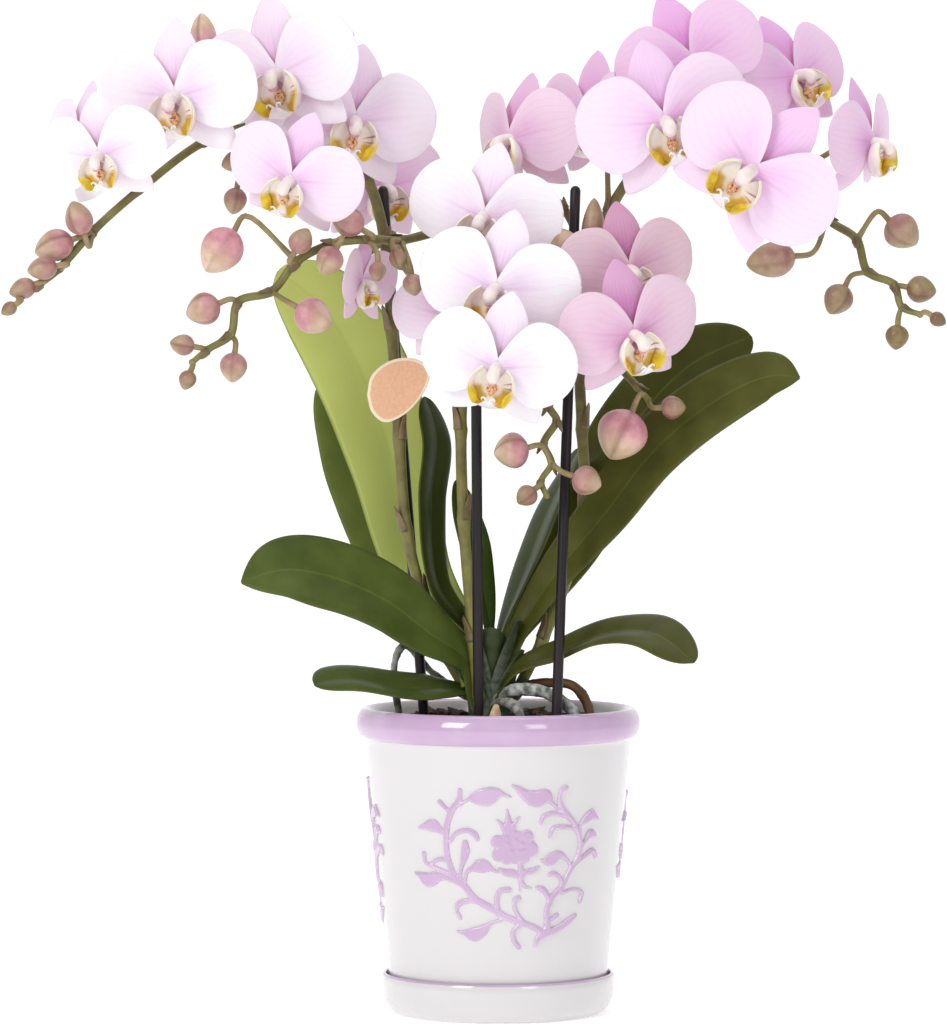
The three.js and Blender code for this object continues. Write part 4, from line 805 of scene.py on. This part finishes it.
COLUMN_RADII = [2.7, 2.4, 2.4, 2.7]
HOOD_AND_CAP = [((0, -2.4, 8.6), (2.7, 2.7, 1.9), 0.0), ((0, -4.5, 7.4), (1.9, 1.6, 1.8), 1.0)]
CALLUS_SIZE = (1.2, 1.3, 1.5)
CALLUS_PLACES = [(0.9, -8, 3.2), (-0.9, -8.2, 3.3), (0.1, -9.6, 3.4), (0, -6.6, 3)]
WHISKER = [(0.6, -12, 8.8), (1.1, -10.9, 9.9), (1.9, -10.3, 10.4), (2.6, -10.6, 10.4), (2.7, -11.2, 10.2)]


def bloom_frame(turns):
    """The way that a bloom faces: its own x, y and z, as columns."""
    turn, tilt, roll = np.radians([turns[0], 90 - turns[1], -turns[2]])
    return rotation(2, turn) @ rotation(0, tilt) @ rotation(2, roll)


def hill(place, middle, width, power=2):
    """1 at the middle and down to 0 on both sides, as a bell with a flatter top for a higher power."""
    return np.exp(-(((place - middle) / width) ** power))


def tepal(number, sweep, seed, tones):
    """One petal or sepal, opening from a narrow claw to its widest and closing in a round tip.

    It leans back by the sweep, bows back towards its edges, has a crease along its middle and waves a
    little at its edges. A petal bulges towards the top, which makes it kidney-shaped. The tones are values
    for the whole of it.
    """
    kind, angle, length, width, widest, claw, bulge = TEPALS[number]
    rows, columns, full, pointed, waves, front, rises, bows = FORMS[kind]
    u = (1 - (1 - np.linspace(0, 1, rows)) ** 1.8)[:, None]
    s = np.sin(np.linspace(-1, 1, columns) * math.pi / 2)
    opening = claw + (1 - claw) * np.sin(math.pi / 2 * np.clip(u / widest, 0, 1)) ** 0.95
    closing = np.clip(1 - (np.clip(u - widest, 0, 1) / (1 - widest)) ** full, 0, 1) ** pointed
    half = width / 2 * opening * np.maximum(closing, 0.03)
    out = length * u * (1 - 0.08 * s**2 * (1 - u**6))
    arch = rises * u - bows * u**2
    crease = -CREASE_DEPTH * hill(s, 0, CREASE_WIDTH) * np.clip(1 - u / 0.85, 0, 1) * np.clip(u * 6, 0, 1)
    wave = waves * np.sin(6.5 * u + seed + 1.7 * np.sign(s)) * np.abs(s) ** 2.5 * u
    rise = length * arch - 0.06 * half * s**2 + crease + wave
    lean = math.radians(sweep)
    x = out * math.cos(lean) + rise * math.sin(lean)
    y = half * s * (1 + 0.025 * np.sin(8 * u + 2 * seed + 2 * np.sign(s))) + bulge * u**2 * (1 - s**2)
    z = front + rise * math.cos(lean) - out * math.sin(lean)
    middle = np.stack([x, y, z], axis=-1) @ rotation(2, math.radians(angle)).T
    thick = TEPAL_THICKNESS / 2 * (1 - 0.5 * np.abs(s) ** 3) + 0 * u
    values = {"along": u, "across": s, "petal": float(kind == "petal"), "dorsal": float(angle == UPRIGHT)}
    return blade(middle, thick, {**values, **tones})


def lip_cup():
    """The lip: a round bowl under the column, whose steep wall is open at the top.

    The wall is tallest at its sides, where a fold swells inward, and rolls in at its rim. A notch at each
    side parts the front lobe from it, which stands up and curls back over the bowl.
    """
    away = np.linspace(-LIP_HORN, LIP_HORN, 73)
    rise = np.concatenate([np.linspace(-1, 0, 7)[:-1], np.linspace(0, 1, 15)])[:, None]
    lobe = hill(away, LOBE_AT, LOBE_WIDTH, 4)
    swell = hill(np.abs(away), SWELL_AT, SWELL_WIDTH)
    notch = hill(np.abs(away), NOTCH_AT, NOTCH_WIDTH)
    up = np.clip(rise, 0, 1)
    wall = LIP_RADIUS + LIP_FLARE * np.sin(math.pi / 2 * up) - LIP_ROLL * up**4
    wall = wall - LIP_SWELL * swell * np.sin(math.pi * up**0.8) - LOBE_CURL * lobe * up**1.8
    radius = np.where(rise < 0, LIP_RADIUS * (0.12 + 0.88 * (1 + rise)), wall)
    tall = 0.55 + 0.45 * np.sin(math.pi * np.abs(away) / LIP_HORN) + 0.5 * lobe - 0.35 * notch
    waving = 0.25 * up**2 * np.sin(np.radians(away) * 7)
    height = LIP_FLOOR + LIP_TALL * tall * up - 0.9 * np.clip(-rise, 0, 1) + waving
    a = np.radians(away - 90)
    middle = np.stack([radius * np.cos(a), LIP_MIDDLE + radius * np.sin(a), height], axis=-1)
    thick = 0.42 - 0.22 * up + 0 * away
    return blade(middle, thick, {"away": away / LIP_HORN, "rise": rise, "lobe": lobe, "swell": swell})


def knob(middle, size, part):
    """An egg-shaped lump, closed at its poles, at the given half sizes."""
    down = np.linspace(math.pi, 0, 9)[:, None]
    turn = np.linspace(0, 2 * math.pi, 17)
    ball = [np.sin(down) * np.cos(turn), np.sin(down) * np.sin(turn), np.cos(down) + 0 * turn]
    return grid_shape(np.array(middle) + np.stack(ball, axis=-1) * np.array(size), {"part": part})


def column_shapes():
    """The column (part 0) with its hood and its cap (1), and the lip's callus (2) and two whiskers (3)."""
    line = smooth_line(COLUMN_LINE, 4)
    shapes = [cane(line, np.interp(np.arange(17), [0, 5, 11, 16], COLUMN_RADII), 16, {"part": 0.0})]
    shapes += [knob(*each) for each in HOOD_AND_CAP]
    shapes += [knob(place, CALLUS_SIZE, 2.0) for place in CALLUS_PLACES]
    for hand in (-1, 1):
        line = smooth_line(np.array(WHISKER) * (hand, 1, 1), 4)
        shapes.append(cane(line, np.linspace(0.55, 0.2, len(line)), 6, {"part": 3.0}))
    return shapes


petal_skin = Paint("petal", {"Roughness": 0.62, "Sheen Weight": 0.25, "Sheen Roughness": 0.5,
                             "Subsurface Weight": 0.12, "Subsurface Scale": 0.003})
along, across, pink, dusk = (petal_skin.value(key) for key in ("along", "across", "pink", "dusk"))
off = across.math("ABSOLUTE")
# painted shade: a bloom in shade has its body and heart painted a dusty rose
body = dusk.blend(pink.blend("#FAF6FA", "#EFC0E6"), "#E6CDD3")
heart = dusk.blend(pink.blend("#F0D0F0", "#DE84D8"), "#C27FA8")
cloud = petal_skin.noise(90, 2).between(0.3, 0.7)
inward = along.between(0.8, 0.0) * off.between(1.1, 0.1) * (cloud * 0.4 + 0.6)
veins = (across * 34.0 + cloud * 3.0).math("SINE").between(0.2, 1.0)
deeper = petal_skin.value("dorsal") * (pink * 0.45 + 0.2) + veins * 0.06
face = (inward * 0.85 + deeper).blend(body, heart)
fold = off.between(0.09, 0.0) * along.between(0.7, 0.1)
face = (fold * 0.35).blend(face, pink.blend("#D9B4D6", "#B480B4"))
foot = along.between(0.34, 0.12) * petal_skin.value("petal").between(1.0, 0.0)
face = (foot * 0.5).blend(face, "#C8899E")
back = along.between(0.9, 0.1).blend(pink.blend("#F3E8F1", "#E6BEDF"), "#D9A9C2")
petal_skin.colour(petal_skin.value("front").blend(back, face))
petal_skin.bump(petal_skin.noise(1800, 2) + veins * 0.8, 0.00012, 0.35)

lip_skin = Paint("lip", {"Roughness": 0.35, "Coat Weight": 0.2, "Subsurface Weight": 0.1,
                         "Subsurface Scale": 0.002})
away, rise, lobe = (lip_skin.value(key) for key in ("away", "rise", "lobe"))
throat = rise.between(-0.6, 0.3).blend("#FFF6EA", "#FFFAFA")
stripes = (away * 52.0).math("COSINE").between(0.3, 0.9)
sides = away.between(0.44, 0.5) * away.between(0.8, 0.74)
marked = stripes * sides * rise.between(0.6, 0.25) * rise.between(-0.7, -0.2)
inner = (marked * 0.75).blend(throat, "#B8506A")  # a few red stripes
yellow = lip_skin.noise(300, 2).between(0.35, 0.65).blend("#F0D434", "#D8B826")
golden = rise.between(0.1, -0.3).blend(yellow, "#D9AE2E")
off = away.math("ABSOLUTE")
crescent = off.between(0.08, 0.16) * off.between(0.66, 0.5) * rise.between(-0.7, -0.4)
inner = crescent.blend(inner, golden)
outer = rise.between(0.0, 0.8).blend("#F0DADE", "#F6F0E6")
wall = lip_skin.value("front").blend(outer, inner)
edge = lip_skin.value("swell").between(0.0, 0.4).blend("#F3E8C8", "#E6CC50")
wall = rise.between(0.86, 0.94).blend(wall, edge)
pale = lobe.between(0.3, 0.7) * rise.between(0.0, 0.3)
lip_skin.colour(pale.blend(wall, "#F6EFF0"))

column_skin = Paint("column", {"Roughness": 0.45, "Subsurface Weight": 0.1, "Subsurface Scale": 0.002})
part = column_skin.value("part")
hood = column_skin.noise(250, 2).between(0.35, 0.7).blend("#F6EBE0", "#EEDBDC")
waxy = column_skin.noise(1100, 2).between(0.56, 0.62).blend("#EDBE8E", "#A8403C")
middle = part.between(0.4, 0.6).blend(hood, "#D9A2B6")
middle = part.between(1.4, 1.6).blend(middle, waxy)
column_skin.colour(part.between(2.4, 2.6).blend(middle, "#F6EFEE"))

middle_shapes = [(lip_cup(), 1)] + [(shape, 2) for shape in column_shapes()]
for number, (name, (at, turns, size, sweep, pinkness, *_)) in enumerate(BLOOMS.items()):
    tones = {"pink": pinkness, "dusk": SHADED_BLOOMS.get(name, 0.0)}
    shapes = [(tepal(k, sweep, 1.3 * number + 0.9 * k, tones), 0) for k in range(len(TEPALS))]
    lies = bloom_frame(turns) * size
    placed = [(corners @ lies.T + at, quads, values, skin)
              for (corners, quads, values), skin in shapes + middle_shapes]
    make_piece(f"flower_{name}", f"bloom_{name}", placed, [petal_skin, lip_skin, column_skin])

# The spikes: woody green to brown stems with a ring and a dry scale at each node, flower stalks that turn
# pink towards the blooms, and plump buds with three seams.
STEMS = {
    "left": [
        (-12, 6, 128), (-20, 5, 142), (-30, 3, 166), (-37, 2, 194), (-40, 3, 231), (-43, 5, 275),
        (-46, 9, 312), (-53, 13, 336), (-68, 16, 354), (-92, 12, 362), (-118, -4, 351), (-143, -20, 331),
        (-161, -31, 314), (-174, -37, 299), (-181, -40, 293), (-189, -44, 287)],
    "middle": [
        (-8, -9, 128), (-10, -9, 150), (-14, -10, 199), (-15, -8, 235), (-14, -5, 255), (-12, -2, 275),
        (-9, 4, 307), (-13, 4, 318), (-24, 0, 315), (-39, -10, 311), (-52, -26, 311), (-66, -32, 309),
        (-80, -34, 302), (-90, -36, 290), (-103, -38, 286), (-106, -40, 273), (-115, -42, 267),
        (-121, -43, 262)],
    "right": [
        (7, 4, 128), (18, 5, 150), (29, 7, 178), (35, 9, 202), (34, 11, 235), (33, 13, 267), (36, 15, 292),
        (45, 17, 323), (62, 21, 347), (86, 25, 364), (108, 23, 361), (124, 9, 341), (132, -7, 320),
        (143, -19, 311), (147, -24, 298), (157, -28, 293), (160, -31, 284), (167, -34, 281)],
    "branch": [(36, 15, 292), (33, 17, 311), (27, 17, 324), (19, 17, 333), (13, 20, 341)],
    "zigzag": [
        (36, 15, 292), (37, -4, 295), (31, -16, 292), (26, -20, 286), (20, -22, 277), (25, -24, 267),
        (26, -26, 256), (20, -27, 245), (23, -28, 239), (18, -29, 230), (21, -30, 222), (17, -30, 215),
        (19, -31, 209)],
    "side": [(33, 13, 267), (46, 2, 262), (56, -10, 252), (60, -14, 247)],
}
SPIKES = {"left": ["left"], "middle": ["middle"], "right": ["right", "branch", "zigzag", "side"]}
MAIN_STEMS = ("left", "middle", "right")
BUDS = [  # stem, node, middle, length, width, the way that the tip points in degrees
    ("left", 12, (-176, -36, 308), 16, 13, 200), ("left", 12, (-166, -40, 319), 14, 11, 110),
    ("left", 13, (-180, -44, 299), 12, 9.5, 190), ("left", 14, (-188, -42, 291), 11, 8.5, 200),
    ("left", 15, (-193, -46, 283), 7, 5.5, 215), ("left", 10, (-119, 4, 394), 18, 11, 95),
    ("left", 11, (-148, 6, 380), 14, 9.5, 100), ("left", 9, (-106, -2, 327), 11, 9.5, 260),
    ("left", 9, (-107, 4, 343), 10, 8.5, 200),
    ("middle", 12, (-110, -38, 306), 20, 17, 235), ("middle", 14, (-117, -38, 283), 14, 13, 200),
    ("middle", 16, (-125, -42, 269), 10, 8.5, 170), ("middle", 17, (-123, -42, 255), 8, 7, 250),
    ("middle", 15, (-105, -38, 260), 12, 11, 265), ("middle", 12, (-78, -42, 310), 11, 9.5, 60),
    ("middle", 11, (-67, -42, 302), 12, 11, 240), ("middle", 10, (-60, -31, 318), 14, 12, 150),
    ("middle", 9, (-40, -20, 303), 9, 7, 290), ("middle", 10, (-48, -34, 298), 8, 7, 270),
    ("middle", 9, (-34, -22, 293), 9, 8.5, 280), ("middle", 13, (-73, -42, 280), 16, 14.5, 330),
    ("right", 13, (161, -22, 314), 15, 14.5, 320), ("right", 14, (135, -24, 287), 13, 12, 240),
    ("right", 15, (168, -28, 291), 12, 11, 350), ("right", 16, (158, -31, 272), 10, 9.5, 265),
    ("right", 17, (174, -35, 279), 7, 6, 330), ("right", 12, (109, -14, 303), 20, 14.5, 190),
    ("zigzag", 10, (5, -34, 227), 14, 14.5, 190), ("zigzag", 11, (11, -32, 209), 9, 8.5, 220),
    ("zigzag", 10, (35, -34, 215), 12, 12, 340), ("zigzag", 2, (26, -20, 309), 14, 13, 110),
    ("zigzag", 1, (38, -10, 316), 24, 9.5, 88), ("side", 3, (49, -21, 233), 21, 20.5, 245),
    ("side", 3, (70, -17, 244), 10, 9.5, 0),
]
PINK_ABOVE = 370  # the topmost buds are pink, however small
YOUNG_BUDS = {"left": 1.25, "middle": 1.25, "right": 1.75, "zigzag": 1.35, "side": 1.35}  # their green
GREEN_WIDTH = 13  # a bud as wide as this is less green by 1
STEM_STEPS = 8
MAIN_RADII, SIDE_RADII = [2.3, 2.2, 1.8, 1.6, 1.1], [1.8, 1.5, 1.1]
RING_SWELL = 0.22
SCALE_LONG, SCALE_SHORT = 11, 5
LONG_SCALES = 6  # the nodes of a main stem before this one have long scales
SEAM_WIDTH = 0.16
STALK_GAP = 0.3  # between a stalk's end and the back of its bloom's column
stem_skin = Paint("stem", {"Roughness": 0.5, "Coat Weight": 0.1})
mottle = stem_skin.noise(160, 4)
young = stem_skin.value("young") + (mottle - 0.5) * 0.8
rind = young.between(0.0, 1.0).blend("#483A20", "#8E8B45")
rosy = mottle.between(0.35, 0.65).blend("#8C7048", "#B58A7E")
stem_skin.colour(stem_skin.value("blush").blend(rind, rosy))
stem_skin.bump(mottle, 0.0004, 0.4)
bud_skin = Paint("bud", {"Roughness": 0.45, "Coat Weight": 0.12, "Subsurface Weight": 0.08,
                         "Subsurface Scale": 0.002})
tinge = bud_skin.noise(180, 3)
mauve = tinge.between(0.3, 0.7).blend("#C4808C", "#DCA0A8")
beige = tinge.between(0.35, 0.65).blend("#CDB08E", "#DEC0AC")
grown = bud_skin.value("along").between(0.25, 0.8).blend(mauve, beige)
unripe = tinge.between(0.3, 0.7).blend("#7A5640", "#8A8148")
rind = bud_skin.value("green").blend(grown, unripe)
bud_skin.colour((bud_skin.value("seam") * 0.6).blend(rind, "#6A4A34"))


def bud(foot, tip, length, width, turn, green):
    """An egg along its tip's way, widest under its middle, with three seams pressed in along it."""
    t = (1 - np.cos(np.linspace(0, math.pi, 17)))[:, None] / 2
    a = np.linspace(0, 2 * math.pi, 25)
    seam = hill(np.sin(1.5 * (a + turn)), 0, SEAM_WIDTH)
    radius = width / 2 * np.sin(math.pi * t**0.82) ** 0.62 * (1 - 0.09 * seam * np.sin(math.pi * t))
    side = unit(np.cross(tip, (0.1, 1, 0.1)))
    spokes = np.cos(a)[:, None] * side + np.sin(a)[:, None] * np.cross(tip, side)
    points = foot + (t * length)[..., None] * tip + radius[..., None] * spokes
    return grid_shape(points, {"seam": seam, "along": t, "green": green})


def scale_leaf(at, way, out, length, radius):
    """A dry scale that wraps a third of the stem above a node and narrows to a point that stands off."""
    u = np.linspace(0, 1, 9)[:, None]
    around = np.linspace(-1, 1, 7) * 1.15 * (1 - u**1.6)
    reach = radius + 0.25 + 0.9 * u**2
    side = np.cross(way, out)
    beside = (reach * np.cos(around))[..., None] * out + (reach * np.sin(around))[..., None] * side
    middle = at + (u * length)[..., None] * way + beside
    return blade(middle, np.full((9, 7), 0.22), {"young": 0.3, "blush": 0.25})


def stem_shapes(stem):
    """One stem, thinner upward and thicker in a ring at each node, with a scale at all nodes but its ends."""
    nodes = np.array(STEMS[stem], float)
    line = smooth_line(nodes, STEM_STEPS)
    place = np.arange(len(line)) / STEM_STEPS
    last = len(nodes) - 1
    if stem in MAIN_STEMS:
        radius = np.interp(place, [0, 7, 9, last - 2, last], MAIN_RADII)
    else:
        radius = np.interp(place, [0, last * 0.7, last], SIDE_RADII)
    from_node = np.abs(place - np.round(place)) * STEM_STEPS
    radius = radius * (1 + RING_SWELL * hill(from_node, 0, 0.7))
    youth = np.interp(place, [0, last * 0.3, last], [0.75, 0.35, 0.6])
    shapes = [cane(line, radius, 14, {"young": youth, "blush": 0.0})]
    way = unit(np.gradient(line, axis=0))
    for k in range(1, last):
        here = k * STEM_STEPS
        out = unit(np.cross(way[here], np.cross((-1 if k % 2 else 1, -0.6, 0.2), way[here])))
        long = SCALE_LONG if stem in MAIN_STEMS and k < LONG_SCALES else SCALE_SHORT
        shapes.append(scale_leaf(nodes[k], way[here], out, long, radius[here] * 0.98))
    return shapes


def bud_shapes(stem):
    """The buds of one stem, each on a stalk that starts at a node and swells where it meets the bud."""
    shapes = []
    for number, (grows, node, middle, length, width, degrees) in enumerate(BUDS):
        if grows != stem:
            continue
        tip = np.array([math.cos(math.radians(degrees)), 0, math.sin(math.radians(degrees))])
        foot = np.array(middle) - tip * length / 2
        stalk = smooth_line([STEMS[stem][node], foot - tip * 0.35 * length, foot + tip * 1.5], 6)
        end = len(stalk) - 1
        thick = np.linspace(1.05, 1.0, end + 1) * np.interp(np.arange(end + 1), [0, 2, end], [1.4, 1, 1.25])
        shapes.append(cane(stalk, thick, 10, {"young": 0.7, "blush": np.linspace(0.2, 0.6, end + 1)}))
        green = np.clip(YOUNG_BUDS[stem] - width / GREEN_WIDTH, 0, 1) if middle[2] < PINK_ABOVE else 0.0
        shapes.append((*bud(foot, tip, length, width, number, green), 1))
    return shapes


def stalk_shapes(stem):
    """The stalks that carry one stem's blooms. Each bends into the way that its bloom faces, and thickens."""
    shapes = []
    for at, turns, size, _, _, (grows, node), *bends in BLOOMS.values():
        if grows != stem:
            continue
        start, facing = np.array(STEMS[stem][node], float), bloom_frame(turns)[:, 2]
        end = np.array(at) - facing * (COLUMN_BACK * size + STALK_GAP)
        reach = min(6, 0.35 * np.linalg.norm(end - start))
        line = smooth_line([start, *bends, end - facing * reach, end], 8)
        along = np.linspace(0, 1, len(line))
        thick = np.interp(along, [0, 0.1, 0.6, 0.9, 1], [1.6, 1.15, 1.15, 1.5, 1.9])
        shapes.append(cane(line, thick, 10, {"young": 0.8, "blush": 0.1 + 0.8 * along}))
    return shapes


for name, stems in SPIKES.items():
    shapes = [shape for stem in stems for shape in stem_shapes(stem) + bud_shapes(stem) + stalk_shapes(stem)]
    make_piece(f"spike_stem_{name}", f"spike_{name}", shapes, [stem_skin, bud_skin])
